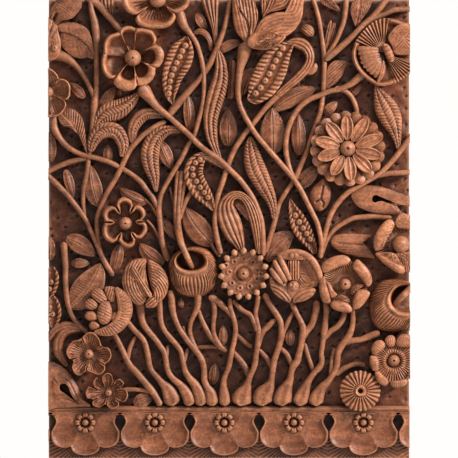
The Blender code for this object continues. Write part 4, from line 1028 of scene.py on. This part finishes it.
def lotus():
    """The lotus cut off by the top edge: layered petals with long flowing cuts, and a broad one in front."""
    def along(points, pitch):
        return lambda x, y: lines(nearest(points, x, y)[1] / pitch, 1.5)

    left, second = ((197, 411), (192.5, 428), (186, 458)), ((203, 424), (204, 440), (199, 472))
    right = ((204, 420), (213, 434), (228, 440.5), (246, 444), (254, 472))
    return [
        petal(37.5, ((183, 472), (183.2, 455), (183.7, 441), (185, 431), (188, 424), (192, 419), (198, 412), (200.7, 420),
                     (200.3, 428), (198.5, 436), (194.5, 442), (190, 448), (187, 455), (186.5, 472)), 2.0,
              lean=(0.08, 0), cuts=along(left, 3.2), depth=0.5, middle=(192, 434)),
        petal(39.5, ((201, 418), (200.5, 428), (198.5, 436), (194.5, 442), (190.5, 448.5), (187.5, 458), (187, 472),
                     (203.5, 472), (206, 453), (208.3, 446), (208.7, 440), (207.5, 433), (205.5, 427)), 1.0, 0.8,
              (0.14, 0), along(second, 3.0), 1.2),
        petal(37, ((213.5, 439), (215.5, 444), (217.3, 452), (216.5, 458), (216, 472), (209.5, 472), (211, 455),
                   (212.5, 446)), 1.4, lean=(0.2, 0), cuts=along(((213.5, 439), (214, 458), (213, 472)), 3.2), depth=1.0),
        petal(38, ((213.5, 439.5), (219, 444), (224, 450), (231, 457), (238, 472), (218, 472), (218, 458),
                   (216.5, 449)), 1.4, cuts=along(((213, 438), (220, 449), (227, 472)), 3.0), depth=1.2),
        petal(40, ((216, 442), (222, 444.5), (230, 446.3), (238, 448.7), (245, 452.5), (249.5, 459), (250, 472),
                   (230, 472), (226, 455), (220, 448)), 1.6, 0.4, (0.05, 0.05),
              along(((214, 440), (226, 446.5), (238, 452), (246, 472)), 3.4), 1.3, middle=(236, 458)),
        petal(41.5, ((202, 418), (205.5, 425), (209, 432.5), (214, 438.7), (221, 442.3), (228, 444.2), (237, 445),
                     (244, 447.4), (248.5, 450.7), (250.3, 458), (250, 472), (255, 472), (253.7, 450), (253, 442),
                     (251, 435.5), (247, 429), (242, 424), (236, 420.5), (226, 419), (212, 416)), 1.5, 0.9, (0.0, 0.06),
              along(right, 3.6), 0.9, middle=(229, 432), around=130, rings=22),
        petal(44, ((197.5, 413), (198.5, 417.5), (201, 421), (206, 424), (213, 426), (220, 426.3), (226, 424.7),
                   (232, 422), (236.3, 420.5), (234, 416.5), (229, 412), (224, 409), (216, 406.8), (206, 407.5),
                   (200, 410)), 2.6, cuts=lambda x, y: ruled(38, 3.0, 1.5, 0.003)(x, y) * smooth(x - 0.5 * (y - 416), 200, 212),
              depth=1.3, around=120, rings=22, middle=(215, 417)),
        petal(29, ((251, 428), (254, 432), (258, 433), (263, 431), (265.3, 426), (264, 421.5), (260, 420.5),
                   (256, 422), (253, 425)), 2.6, cuts=ruled(-40, 2.4), depth=0.5),
        petal(33, ((256.5, 384), (262, 391), (266, 394.3), (268.3, 390.5), (266.3, 385), (261, 382)), 2.0),
    ]


def fan_flower():
    """The flower cut off by the right edge: pleats, long fingers, a striped petal and a beaded core in a round rim."""
    rim = ((304.5, 412), (306.5, 416.5), (310, 421.5), (315, 427.3), (321, 433), (327, 436.6), (334, 438.7), (343, 438),
           (352, 435), (364, 430), (374, 412), (370, 392), (358.5, 382.5), (352, 377.5), (345, 374), (335, 371.5),
           (328, 371.8), (321, 375), (315.5, 379), (310, 384.3), (305.8, 390.5), (303, 397.5), (302.5, 405))

    def back(rho, x, y):
        angle = np.degrees(np.arctan2(y - 404, x - 334))
        above = smooth(angle, 78, 84) * (1 - smooth(angle, 158, 162))
        below = smooth(angle, -78, -60) * (1 - smooth(angle, -20, -12))
        pleat = lines(angle / 7.2, 1.2) * above + lines(angle / 6.0, 1.3) * below
        level = 36.5 - 4.0 * (1 - rho) - 5.0 * (1 - above - below) * (1 - smooth(rho, 0.8, 0.9))
        return level + 1.5 * hollow(rho - 0.94, 0.035) * (1 - above) - 2.2 * pleat * smooth(rho, 0.25, 0.5)

    def core(run, across, half):
        return -0.85 * half * (1 - np.sqrt(1 - across**2)) + 0.7 * np.cos(run * TAU / 4.6)

    line, run = stations(((334, 412.5, 6.5), (336.8, 408, 7.5), (339.5, 402, 8), (342, 395, 6)), 0.7)
    made = [plate(rim, back, around=330, rings=30, middle=(334, 404)),
            band(round_ends(line, run), run, (41, 43, 42), core, around=17),
            petal(38.5, ((338, 419), (341, 425.5), (346, 430.5), (352, 433), (360, 431.5), (372, 428), (372, 402),
                         (357, 402), (345, 403), (342, 410)), 1.4, 0.6, (0, 0.06),
                  lambda x, y: ruled(48, 2.4, 1.5)(x, y), 0.9, middle=(354, 418)),
            petal(39.5, ((333.5, 397.5), (335.5, 391), (335, 384), (332, 378), (328.5, 374.3), (326.8, 376),
                         (328.5, 382), (330, 390)), 1.6, cuts=ruled(75, 2.6), depth=0.5)]
    for start, end, width in (((329, 408), (307.5, 408.5), 5), ((329, 405.5), (308.5, 403.5), 4.6),
                              ((330, 403), (310, 398.8), 4.6), ((330.5, 401), (311, 394.3), 4.6),
                              ((331, 399.5), (313.5, 390), 4.6), ((331.5, 398), (317, 386.3), 4.6),
                              ((332, 397), (320.5, 383), 4.8), ((332.5, 396), (325, 379.5), 5)):
        middle = ((start[0] + end[0]) / 2, (start[1] + end[1]) / 2, width * 0.9)
        made.append(ribbon(39.5, ribbed_face(1, 0.0), ((*start, 2.4), middle, (*end, width)), around=13))
    return made


def half_seen_flower():
    """The flower seen from its side: an arched hood with pleats under it, side strips, a seed head and two leaves."""
    strips = (((229.5, 203, 4), (234, 193, 6), (241, 178, 4)), ((224.5, 198, 4), (230, 187, 6), (237, 176, 4)),
              ((221, 190, 4), (227, 181.5, 5.5), (233, 174, 3.5)))
    made = [
        petal(37, ((221, 183), (222, 192), (227, 200), (234, 205), (242, 207), (250, 206.5), (258, 203), (264, 197),
                   (268, 190), (271, 181), (269, 174), (262, 170), (252, 168), (244, 164), (236, 168), (228, 173)),
              1.0, 3.5, cuts=fanned(243, 166, 70), depth=0.9, middle=(245, 185), around=130, rings=20),
        ribbon(41, round_face, ((228, 202, 4), (236, 205.5, 5), (245, 206.6, 5.5), (254, 204.5, 6), (262, 199, 6.5),
                                (267, 191.5, 6.5), (270, 184, 6), (271, 175, 4)), around=13),
        petal(39.5, ((231, 203), (238, 205.5), (246, 206.5), (254, 205), (261, 200.5), (253, 198.3), (240, 198.3),
                     (234, 199)), 1.0),
        petal(39, ((239.5, 198), (249, 198), (250.5, 190), (249, 179), (241, 179), (239, 188)), 1.6,
              cuts=ruled(90, 2.5), depth=1.5),
        ball(242.3, 202.3, 3.2, 42), ball(246.2, 202.6, 3.2, 42),
        ball(243.7, 171.8, 6.2, 40, around=30, rings=12),
        ball(241, 173.5, 1.5, 40.2, around=10, rings=6), ball(244.5, 175, 1.5, 40.2, around=10, rings=6),
        ball(247, 172, 1.5, 40, around=10, rings=6), ball(244, 171.5, 1.4, 40.6, around=10, rings=6),
        pierced(((238, 168), (240, 172), (244, 173), (248, 171), (249, 167), (247, 163), (243, 160), (239, 163)),
                ((242, 169.5), (243.5, 169.6), (244.5, 168.2), (243.6, 166.8), (242, 166.9), (241.3, 168.2)),
                (243, 168.2), lambda t, u, v: 38.5 - 1.0 * (1 - t) ** 2, 33, around=48, rings=8),
        petal(39, ((220.5, 182), (221, 172), (225, 165), (231, 160), (239, 156), (242.5, 160), (239, 167),
                   (232, 172.5), (226, 177)), 1.8, cuts=ringed(214, 144, 3.6), depth=1.2),
        petal(40, ((244, 156), (243.5, 163), (247, 168.5), (255, 171), (263, 170.5), (266.5, 168), (262.5, 162),
                   (255, 157.5), (248, 156)), 1.8, cuts=ringed(262, 145, 4.2), depth=1.2),
    ]
    made += [ribbon(42, round_face, points, around=13) for points in strips]
    return made


def smooth_flower():
    """Five thick smooth petals that lean in over a deep hollow, and a drilled ball."""
    def dish(rho, angle):
        return 30 + 5 * rho**1.5 - 1.2 * lines(56 * angle / TAU, 2) * smooth(rho, 0.3, 0.5)

    return [
        bloom(295.5, 175, 22.5, lambda angle: np.ones_like(angle), dish, around=224, rings=18),
        ball(295.5, 174, 5.8, 40, hole=1.2, around=32, rings=12),
        petal(42, ((271.5, 189), (273, 195), (280, 200), (288, 202.8), (296, 202.5), (300.8, 198), (297, 193.5),
                   (289, 191), (280, 187), (274.5, 185.5)), 2.8, lean=(0.03, 0.05)),
        petal(41, ((303, 191), (304.5, 196.5), (308, 198.6), (312.5, 195.5), (317.5, 190), (321.5, 183), (322, 175.5),
                   (318, 171.5), (313, 177), (307, 185)), 2.6, lean=(-0.03, 0.03)),
        petal(42, ((303, 150), (308.5, 149.8), (314.5, 155), (319.8, 163.5), (319, 167), (313.5, 169), (307.5, 167.5),
                   (303.5, 160)), 2.8),
        petal(42.5, ((280.5, 154), (283.5, 149.5), (290, 147), (296, 146), (301, 146.3), (302.5, 149.5),
                     (299, 154.5), (293, 157), (284, 157.5)), 2.8),
        petal(38, ((283, 156.5), (287, 161), (292, 163.5), (298, 161), (300.5, 155)), 1.6, cuts=fanned(292, 172, 90),
              depth=0.9),
        petal(42, ((269.5, 176), (271.5, 180), (275.5, 180), (277.5, 172), (280, 163), (281, 156.5), (278, 154.8),
                   (273, 157), (270, 165)), 2.6),
        petal(39.5, ((276, 177.5), (280.5, 175), (284, 168), (287.5, 163.5), (283, 160), (280, 162), (278, 170)), 1.8),
        petal(37, ((301, 166), (303, 172), (309, 175), (314, 173), (309, 168), (304, 163)), 1.4,
              cuts=fanned(295.5, 174, 70), depth=0.9),
    ]


def right_edge_flower():
    """The open flower cut off by the right edge."""
    def dish(rho, angle):
        return 29 + 4.5 * rho**1.5 - 1.2 * lines(60 * angle / TAU, 2) * smooth(rho, 0.35, 0.55)

    return [
        bloom(351, 214, 26, lambda angle: np.ones_like(angle), dish, around=200, rings=18),
        ball(350.8, 213.8, 8.8, 43, around=36, rings=14),
        petal(41.5, ((325.5, 207.5), (323.3, 215), (325, 223), (330, 231.5), (336, 237.5), (341, 238.3), (344.5, 234),
                     (342, 227), (338, 220.5), (335, 214), (332, 209)), 2.8, lean=(-0.05, 0.05),
              cuts=lambda x, y: ruled(25, 2.2)(x, y) * smooth(x - 0.55 * (y - 222), 334, 337), depth=1.2),
        petal(42, ((325.5, 204.5), (329.5, 199), (336, 193), (343, 188), (350, 184.3), (354.5, 186), (354, 191),
                   (349.5, 198), (345, 204.5), (336, 206)), 2.8,
              cuts=lambda x, y: fanned(349, 224, 110)(x, y) * smooth(y + 0.6 * (x - 340), 196, 200), depth=1.3),
        petal(38.5, ((346, 205), (350.5, 196), (354, 187.5), (358, 186), (368, 188), (368, 204), (356, 206)), 1.8,
              cuts=fanned(351, 222, 100), depth=1.0),
        petal(38, ((345, 236), (348.5, 243), (353.5, 244.8), (360, 242.8), (370, 242), (370, 228), (353, 229.5),
                   (347, 231)), 1.8, cuts=fanned(351, 210, 90), depth=0.6),
    ]


def side_dahlia():
    """The flower seen from its side: a striped heart held in a crescent, with small petals on the left."""
    def crescent(run, across, half):
        stripes = 1.0 * lines(run / 2.7 + 0.5 * across, 1.6) * smooth(across, -0.95, -0.8) * smooth(-across, -0.62, -0.5)
        return np.minimum(half / 5, 1) * (0.6 * across - 1.6 * across**2 - stripes)

    slant = ruled(-35, 2.6)
    return [
        ribbon(40.5, crescent, ((46, 126.5, 3), (56, 127, 9), (66, 130.5, 12.5), (74, 139, 14),
                                (77, 150, 14.5), (74, 161, 12), (67.5, 171, 3)), around=27),
        petal(41.5, ((53, 156), (49.5, 149), (49, 142), (52, 135.5), (57.5, 134), (62, 138), (64, 146), (62.5, 153),
                     (60, 157)), 3.4, cuts=ruled(-28, 2.8), depth=0.9),
        petal(38.5, ((61.5, 139), (63, 144.5), (67.5, 147), (71.5, 143), (72, 137.5), (66, 136.5)), 2.0),
        petal(38.5, ((43, 163), (45, 168.5), (49.5, 170.5), (54, 168), (58.5, 160), (57, 156), (51, 155)), 2.2,
              cuts=slant, depth=0.8),
        petal(39, ((36.5, 154), (38.5, 158.5), (43.5, 159.5), (48.5, 155.5), (49, 151), (44, 148.5), (38.5, 149.8)),
              2.4, cuts=slant, depth=0.8),
        petal(39, ((36.5, 143), (39, 147), (45, 147), (49.5, 143), (48, 138.5), (42, 137.8), (38, 139.5)), 2.6),
        petal(38.5, ((40.5, 133), (43, 137), (48, 137), (51.5, 133), (49, 129.5), (43.5, 128.5)), 2.4),
        petal(37, ((56, 170), (60, 172), (66, 171), (68, 165), (66, 157), (61, 157), (58, 162)), 1.6,
              cuts=ruled(75, 2.6), depth=0.8),
        petal(32, ((44, 132), (44, 150), (52, 164), (62, 168), (72, 162), (76, 148), (72, 136), (60, 129)), 0.5),
    ]


def striped_bud():
    """A bud of two striped lobes, with a pointed petal between them and a small knot below."""
    return [
        petal(41, ((74.5, 184), (77, 191), (83, 197.3), (91, 199.8), (97.6, 198.6), (97.3, 190), (98.6, 180),
                   (101, 168), (98, 158), (92.5, 153.5), (86, 154.5), (80, 160), (75.5, 168), (73.5, 177)), 4.5,
              cuts=ringed(113, 180, 2.7), depth=1.2, around=130, rings=22),
        petal(43, ((83, 190), (86.5, 192), (92, 184), (97.5, 174), (103, 165), (102.5, 161.5), (99, 162.5),
                   (92, 172), (85, 183)), 1.6, cuts=ruled(-58, 2.4), depth=0.9),
        petal(41, ((99.8, 198.4), (106, 196.3), (113, 191), (118, 183), (119.8, 174), (117.5, 164), (111, 156),
                   (105, 157), (104, 165), (101.6, 174), (99.3, 187)), 4.2, cuts=ringed(95, 162, 2.6), depth=1.2,
              around=130, rings=22),
        petal(40, ((97, 152), (98.5, 158), (103, 162.5), (107, 159.5), (109, 154.5), (106, 151), (101, 150.5)), 1.8,
              cuts=ruled(38, 3.0), depth=1.4),
    ]


def pleated_disc():
    def outline(angle):
        return 1 - 0.05 * np.abs(petal_side(angle, 24, 0)) ** 2

    def face(rho, angle):
        across = petal_side(angle, 24, 0)
        pleat = 1.7 * np.abs(across) ** 1.6 * smooth(rho, 0.3, 0.42)
        level = 38.5 - 3.2 * rho**2.4 + 1.2 * (1 - rho)
        collar = 1.1 * hollow(rho - 0.22, 0.055) - 1.3 * hollow(rho - 0.31, 0.04)
        return level - pleat + collar - 6.5 * (1 - smooth(rho, 0.075, 0.13))

    return [bloom(310.5, 68, 20.3, outline, face, around=288, rings=34)]


def cups():
    return [
        cup(((119, 190), (121, 198), (126, 204.5), (133, 209), (142, 211.3), (151, 211), (159, 208), (165, 201.5),
             (168.5, 193), (169, 183), (166, 173), (159, 165), (149, 161), (138, 162), (128, 167), (121, 177)),
            (144, 186), (142, 197.5, 16, 11), -84),
        cup(((320, 150), (320.5, 162), (325, 171), (332, 177), (341, 179.5), (352, 178.5), (362, 175), (374, 165),
             (378, 150), (372, 134), (360, 127.5), (348, 126), (337, 126.5), (328, 130), (322, 139)),
            (346, 152), (355, 159.5, 16, 15), -128, flutes=46),
    ]


def measured_leaves():
    """Leaves drawn by their own outline and midrib."""
    return [
        outlined_leaf(27, ((270, 470), (270.5, 457), (277, 451), (284, 448), (290.5, 445.7), (289, 450.5), (284.5, 457),
                           (282, 470)), ((271, 462), (280, 453), (290, 446)), veins=0.9, pitch=2.4),
        outlined_leaf(27, ((277.5, 405.5), (276, 412), (276, 421), (278, 430), (281.5, 437), (283, 434.5), (286.3, 434),
                           (286.5, 426), (284.5, 417), (281, 409)), ((278, 405), (281, 420), (283, 436)),
                      cuts=ruled(78, 2.3), depth=0.8),
        outlined_leaf(29, ((307.3, 430.5), (303.5, 437), (301.3, 445), (302, 452), (304, 459), (304, 470), (324, 470),
                           (322.5, 456), (319, 447), (313, 438.5)), ((307, 430), (309.5, 445), (313, 472)), fold=0.5,
                      veins=0.4, cuts=lambda x, y: pecked(y * 0.6, x * 1.2), depth=1.1),
        outlined_leaf(29, ((277.5, 369.5), (277, 380), (279, 390.5), (284, 396), (290, 396.9), (296.4, 395.7), (295.6, 390),
                           (293, 383), (288.5, 376.5), (282.5, 371.5)), ((278, 370), (285, 382), (295.5, 395)), fold=0.4,
                      groove=0.6, cuts=ruled(42, 2.5, 2.0), depth=0.9),
        outlined_leaf(31, ((38.5, 304), (34, 314), (29, 324), (22, 329.5), (16, 331.5), (12, 335), (10.5, 341),
                           (14, 346), (20, 349.3), (25.5, 348), (30.5, 344), (34, 339), (36, 331), (37.2, 320)),
                      ((38, 304), (32, 318), (27.5, 327), (21.5, 336), (14, 344)), fold=0.8, veins=1.1, pitch=3.2,
                      around=130, rings=22),
        outlined_leaf(26, ((179, 360), (178.5, 372), (179, 386), (180.5, 395), (183, 397.7), (186, 395.5), (187.7, 390),
                           (187.7, 378), (186, 366), (184, 360)), ((181, 360), (181.5, 378), (182.5, 397)), fold=-0.8,
                      groove=0.5),
        outlined_leaf(29, ((191, 360), (190.8, 371), (192, 380), (195, 386), (199.5, 388.9), (205, 389.5), (205, 383),
                           (202, 375), (198.5, 367)), ((193, 361), (196.5, 374), (203, 388)), fold=-0.7,
                      cuts=ruled(60, 3.2), depth=0.7),
    ]


def odd_leaves():
    """Leaves that no single spine describes: scrolls, slit buds, leaves with an eye, and leaves of two lobes."""
    def scroll(t, u, v):
        line = stroke(u, v, (4, 81), (8, 76), 0.8) + hollow(t - 0.62, 0.09)
        return 30.5 - 1.6 * (1 - t) ** 3 * 1.5 + 0.8 * t - 1.0 * np.clip(line, 0, 1)

    def bud(x, y):
        return np.clip(stroke(x, y, (274, 272), (271.5, 259)) + stroke(x, y, (271.5, 259), (266.5, 256))
                       + stroke(x, y, (271.5, 259), (274.5, 255)) + stroke(x, y, (274.5, 255), (273.5, 251)), 0, 1)

    return [
        pierced(((-8, 95), (2, 96.5), (8, 95), (14, 91.5), (20, 86), (25, 79.5), (29, 72.5), (32, 66), (36, 59.5),
                 (42, 52.8), (30, 51.5), (10, 51), (-8, 51)),
                ((11, 70), (11.5, 73.5), (14, 75.3), (17.5, 74.6), (20, 72), (21.5, 68), (24, 62.5), (29.5, 55.5),
                 (23, 60), (16.5, 65), (12.5, 67.5)), (17, 69), scroll, 14.5, around=220, rings=22),
        pierced(((302, 262), (305, 267.5), (310, 271), (318, 272.4), (327, 271.6), (338, 269.2), (348, 265.5),
                 (357, 262.4), (370, 259), (370, 250), (357, 252), (350.5, 252.4), (347.5, 251.8), (350, 248),
                 (351.5, 244.5), (346, 243.8), (336, 244.2), (326, 245), (318, 247), (310, 250.5), (304.5, 256)),
                ((322.3, 259), (323.5, 262), (326.5, 263), (330, 261.5), (336, 259), (343, 256), (347, 252.6),
                 (341, 255), (335, 256.6), (329, 256.4), (325.5, 255.2), (323, 256.5)), (326.5, 259),
                lambda t, u, v: 30.5 - 2.0 * (1 - t) ** 4 - 0.5 * ruled(-8, 2.8, bend=0.002)(u, v) * smooth(u, 322, 345),
                14.5, around=240, rings=16),
        petal(29.5, ((281, 216), (284, 221.5), (290, 223.8), (300, 224.4), (312, 224), (322.5, 223.4), (319, 219.5),
                     (314, 215.3), (317, 212.5), (321, 208), (325, 202.5), (324.5, 199.8), (318, 200), (308, 201.2),
                     (298, 203.4), (290, 206.3), (284, 210.5)), 2.0, middle=(300, 213),
              cuts=lambda x, y: np.clip(stroke(x, y, (289, 214.6), (313, 213.6), 0.8) * 1.6
                                        + 0.3 * ruled(0, 2.6)(x, y), 0, 2), depth=0.9, around=120, rings=18),
        petal(30, ((270, 246.5), (264, 250), (260.3, 257), (260.3, 264), (264, 271), (270, 276.5), (274.5, 280),
                   (278.5, 275), (281.3, 268), (281.3, 260), (278.5, 252), (274.5, 248)), 3.4, cuts=bud, depth=2.2,
              middle=(271, 262), rings=22),
        petal(31, ((7.5, 431.5), (3, 437), (0.5, 443), (3, 450), (7.5, 456.5), (13, 470), (33, 470), (33.3, 452),
                   (31.5, 447.5), (27.5, 442.5), (24, 439.2), (19, 437.3), (13, 436)), 2.6, lean=(0.0, 0.05),
              cuts=lambda x, y: np.clip(3 * stroke(x, y, (4.5, 436.5), (8, 443), 1.3)
                                        + 0.35 * (ruled(55, 2.2)(x, y) + ruled(-35, 2.2)(x, y)), 0, 3), depth=1.2,
              middle=(19, 447), rings=20, around=120),
        outlined_leaf(29, ((46, 400), (45, 408), (43.6, 416), (41.5, 424), (38, 429), (32, 432.6), (25, 434.5),
                           (17, 434.3), (9.5, 431.5), (12.2, 424), (12.3, 417), (14, 411), (18, 406), (23, 402),
                           (28, 399.7), (34, 399), (39, 400.2), (43.5, 398.5)),
                      ((46, 400), (42, 406), (38.7, 411), (34.5, 415.3), (28, 419.7), (20, 423.2), (11, 424.8)),
                      fold=-0.9, cuts=pecked, depth=0.8, middle=(29, 416)),
        petal(33, ((-6, 440), (2, 438.5), (6, 434), (9, 431.5), (10, 426), (12.5, 417), (12.5, 408), (9.5, 400),
                   (0, 396), (-10, 400)), 2.4, cuts=lambda x, y: np.clip(
                       1.6 * stroke(x, y, (4.5, 434), (1.5, 424), 0.7) + stroke(x, y, (8.5, 428), (3, 419), 0.7)
                       + 0.4 * ruled(100, 2.4)(x, y), 0, 2), depth=0.9, middle=(2, 418)),
        ball(6.5, 409, 3.6, 37, hole=0.9),
    ]


def board(u0, u1, v0, v1, base, height, step, pulls=None):
    """A closed slab whose face is a fine grid: height(u, v) above a flat base. Where places to pull towards are
    given, the grid is gathered round them, so that small pits keep their shape."""
    u, v = np.meshgrid(np.linspace(u0, u1, round((u1 - u0) / step) + 1),
                       np.linspace(v0, v1, round((v1 - v0) / step) + 1))
    if pulls is not None:
        edge = np.minimum(np.minimum(u - u0, u1 - u), np.minimum(v - v0, v1 - v))
        for pit_u, pit_v in pulls:
            pull = 0.55 * np.exp(-((u - pit_u) ** 2 + (v - pit_v) ** 2) / 2.4**2) * smooth(edge, 0, 3)
            u = u + (pit_u - u) * pull
            v = v + (pit_v - v) * pull
    rows, columns = u.shape
    top = np.stack([u, v, height(u, v)], axis=-1).reshape(-1, 3)
    index = np.arange(rows * columns).reshape(rows, columns)
    rim = np.concatenate([index[0, :-1], index[:-1, -1], index[-1, :0:-1], index[:0:-1, 0]])
    count = len(rim)
    low = top[rim].copy()
    low[:, 2] = base
    middle = np.array([[(u0 + u1) / 2, (v0 + v1) / 2, base]])
    points = to_world(np.concatenate([top, low, middle]))
    here = np.arange(count)
    there = (here + 1) % count
    start = rows * columns
    walls = np.stack([rim[there], rim[here], start + here, start + there], axis=-1)
    fans = np.stack([start + there, start + here, np.full(count, start + count)], axis=-1)
    return points, np.concatenate([grid_quads(rows, columns, False), walls]), fans


def ground():
    """The plank with the punched ground of the carving."""
    scatter = np.random.default_rng(7)
    step = 13.0
    cells_u, cells_v = np.meshgrid(np.arange(step / 2, WIDTH, step), np.arange(62, TALL, step))
    spots = np.column_stack([cells_u.ravel(), cells_v.ravel()])
    spots = spots + scatter.uniform(-0.38, 0.38, spots.shape) * step

    def height(u, v):
        rough = 0.35 * np.sin(u / 3.1 + 0.7 * np.sin(v / 4.3)) * np.sin(v / 2.7 + 0.9 * np.sin(u / 5.1))
        level = GROUND + rough
        for spot_u, spot_v in spots:
            level = level - 2.2 * np.exp(-(((u - spot_u) ** 2 + (v - spot_v) ** 2) / 0.85**2) ** 2)
        return level

    return [board(0, WIDTH, 0, TALL, 0.0, height, 1.75, spots)]


# The border along the foot

PITCH = 69.3
FIRST = 36.7
ROSETTE_V = 36.0
SCALLOP_CREST = 28.0
HALF_SCALLOP = ((34.65, 47), (32.8, 43.8), (30.4, 40.8), (29.4, 37.8), (30.0, 34.6), (31.8, 31.2), (33.9, 27.4),
                (34.3, 24), (33.2, 18), (29.5, 13.4), (24, 11.2), (18.5, 11.0), (14.6, 12.0), (13.2, 8.4),
                (10, 5.6), (5.2, 3.8), (0, 3.3))
LOBES = ((-19, 27, 18), (19, 27, 18), (0, 17, 16), (0, 36, 20))


def scallop(centre):
    """A scallop: a flat rim round hollows of one circle each, which meet in soft ridges."""
    right = np.array(HALF_SCALLOP)
    left = (right * (-1, 1))[-2::-1]
    outline = np.concatenate([right, left])
    outline[:, 0] += centre

    def face(rho, u, v):
        bowls = [1 - ((u - centre - x) ** 2 + (v - y) ** 2) / radius**2 for x, y, radius in LOBES]
        bowl = np.clip(np.max(bowls, axis=0), 0, 1)
        return SCALLOP_CREST - 3.6 * bowl * smooth(1 - rho, 0.03, 0.12) - 1.2 * smooth(rho, 0.97, 1.0)

    return plate(outline, face, around=190, rings=26, middle=(centre, 29),
                 under=((1.0, 0.1), (0.985, 0.5), (0.97, 1.0)))


def rosette(centre):
    """A small flower on a scallop: round petals with a hollow each, round a boss in a ring."""
    def outline(angle):
        return 1 - 0.16 * np.abs(petal_side(angle, 8, 90)) ** 2.5

    def face(rho, angle):
        across = petal_side(angle, 8, 90)
        petals = 29.6 - 1.6 * (2 * np.clip(rho, 0.45, 1) - 1.5) ** 2 * 4 - 1.8 * smooth(np.abs(across), 0.6, 1.0)
        ring = 3.0 * hollow(rho - 0.42, 0.09)
        return petals - ring

    return [bloom(centre, ROSETTE_V, 10.3, outline, face, around=96, rings=14),
            ball(centre, ROSETTE_V, 3.2, 30.5)]


def border():
    """The rail, the hatched bed and the scallops with their rosettes."""
    def rail(u, v):
        return 26.5 - 2.5 * smooth(v, 50.5, 52.4) + 0.12 * np.sin(u / 5.0 + 3 * np.sin(v / 2.0))

    def bed(u, v):
        near = (u - FIRST + PITCH / 2) % PITCH - PITCH / 2
        angle = np.arctan2(v - 22, near)
        reach = np.hypot(near, v - 22)
        return 19.0 - 0.9 * lines(14 * angle / np.pi * 2.2, 2) * smooth(reach, 14, 20)

    made = [board(0, WIDTH, 44.5, 52.4, FOOT, rail, 1.1), board(0, WIDTH, 0, 27, FOOT, bed, 0.9)]
    for k in range(-1, 6):
        centre = FIRST + k * PITCH
        made.append(scallop(centre))
        made += rosette(centre)
    return made


WALNUT = walnut()
PIECES = {
    "ground_board": ground,
    "scalloped_border": border,
    "stems": stems,
    "roots": roots,
    "leaves": lambda: leaves() + measured_leaves(),
    "ribbon_leaves": ribbons,
    "seed_pods": pods,
    "flower_heads": flowers,
    "daisy_and_bead_ring": lambda: daisy(298, 309) + bead_ring_flower(),
    "lotus": lotus,
    "fan_flower": fan_flower,
    "side_flowers": lambda: half_seen_flower() + side_dahlia() + striped_bud(),
    "smooth_flowers": lambda: smooth_flower() + right_edge_flower() + edge_flower(),
    "pleated_disc_and_cups": lambda: pleated_disc() + cups(),
    "odd_leaves": odd_leaves,
}
for name, make in PIECES.items():
    carve(name, make(), WALNUT)


# Floor, light and camera

def stage_floor():
    mesh = bpy.data.meshes.new("floor")
    reach, level = 3.0, LOW.z - 0.37
    mesh.from_pydata([(-reach, -reach, level), (reach, -reach, level), (reach, reach, level),
                      (-reach, reach, level)], [], [(0, 1, 2, 3)])
    floor = bpy.data.objects.new("floor", mesh)
    pale = bpy.data.materials.new("pale_floor")
    pale.use_nodes = True
    pale.node_tree.nodes["Principled BSDF"].inputs["Base Color"].default_value = (0.8, 0.79, 0.77, 1)
    pale.node_tree.nodes["Principled BSDF"].inputs["Roughness"].default_value = 0.8
    mesh.materials.append(pale)
    bpy.context.scene.collection.objects.link(floor)


def soft_light(name, place, size, power, colour=(1, 0.97, 0.93)):
    """A square soft light that looks at the middle of the plate."""
    lamp = bpy.data.lights.new(name, "AREA")
    lamp.size = size
    lamp.energy = power
    lamp.color = colour
    light = bpy.data.objects.new(name, lamp)
    light.location = place
    light.rotation_euler = (-light.location).to_track_quat("-Z", "Y").to_euler()
    bpy.context.scene.collection.objects.link(light)


def studio():
    world = bpy.data.worlds.new("studio")
    world.use_nodes = True
    nodes = world.node_tree.nodes
    sky = nodes["Background"]
    sky.inputs["Color"].default_value = (1, 0.99, 0.98, 1)
    ray = nodes.new("ShaderNodeLightPath")
    level = nodes.new("ShaderNodeMapRange")
    level.inputs["To Min"].default_value = 0.27
    level.inputs["To Max"].default_value = 1.0
    world.node_tree.links.new(ray.outputs["Is Camera Ray"], level.inputs["Value"])
    world.node_tree.links.new(level.outputs["Result"], sky.inputs["Strength"])
    bpy.context.scene.world = world
    bpy.context.scene.view_settings.view_transform = "Standard"
    soft_light("key", (1.75, -1.15, 0.95), 0.5, 84)
    soft_light("fill", (0.5, -2.2, 1.3), 0.9, 16)


DISTANCE = 4.0
SENSOR = 36.0


def camera():
    """A long lens straight in front, with the plate's full height in the picture."""
    lens = bpy.data.cameras.new("camera")
    lens.sensor_width = SENSOR
    lens.lens = SENSOR * DISTANCE / (TALL * MM)
    view = bpy.data.objects.new("camera", lens)
    view.location = (0, BACK - (GROUND - 2) * MM - DISTANCE, 0)
    view.rotation_euler = (math.pi / 2, 0, 0)
    bpy.context.scene.collection.objects.link(view)
    bpy.context.scene.camera = view


stage_floor()
studio()
camera()
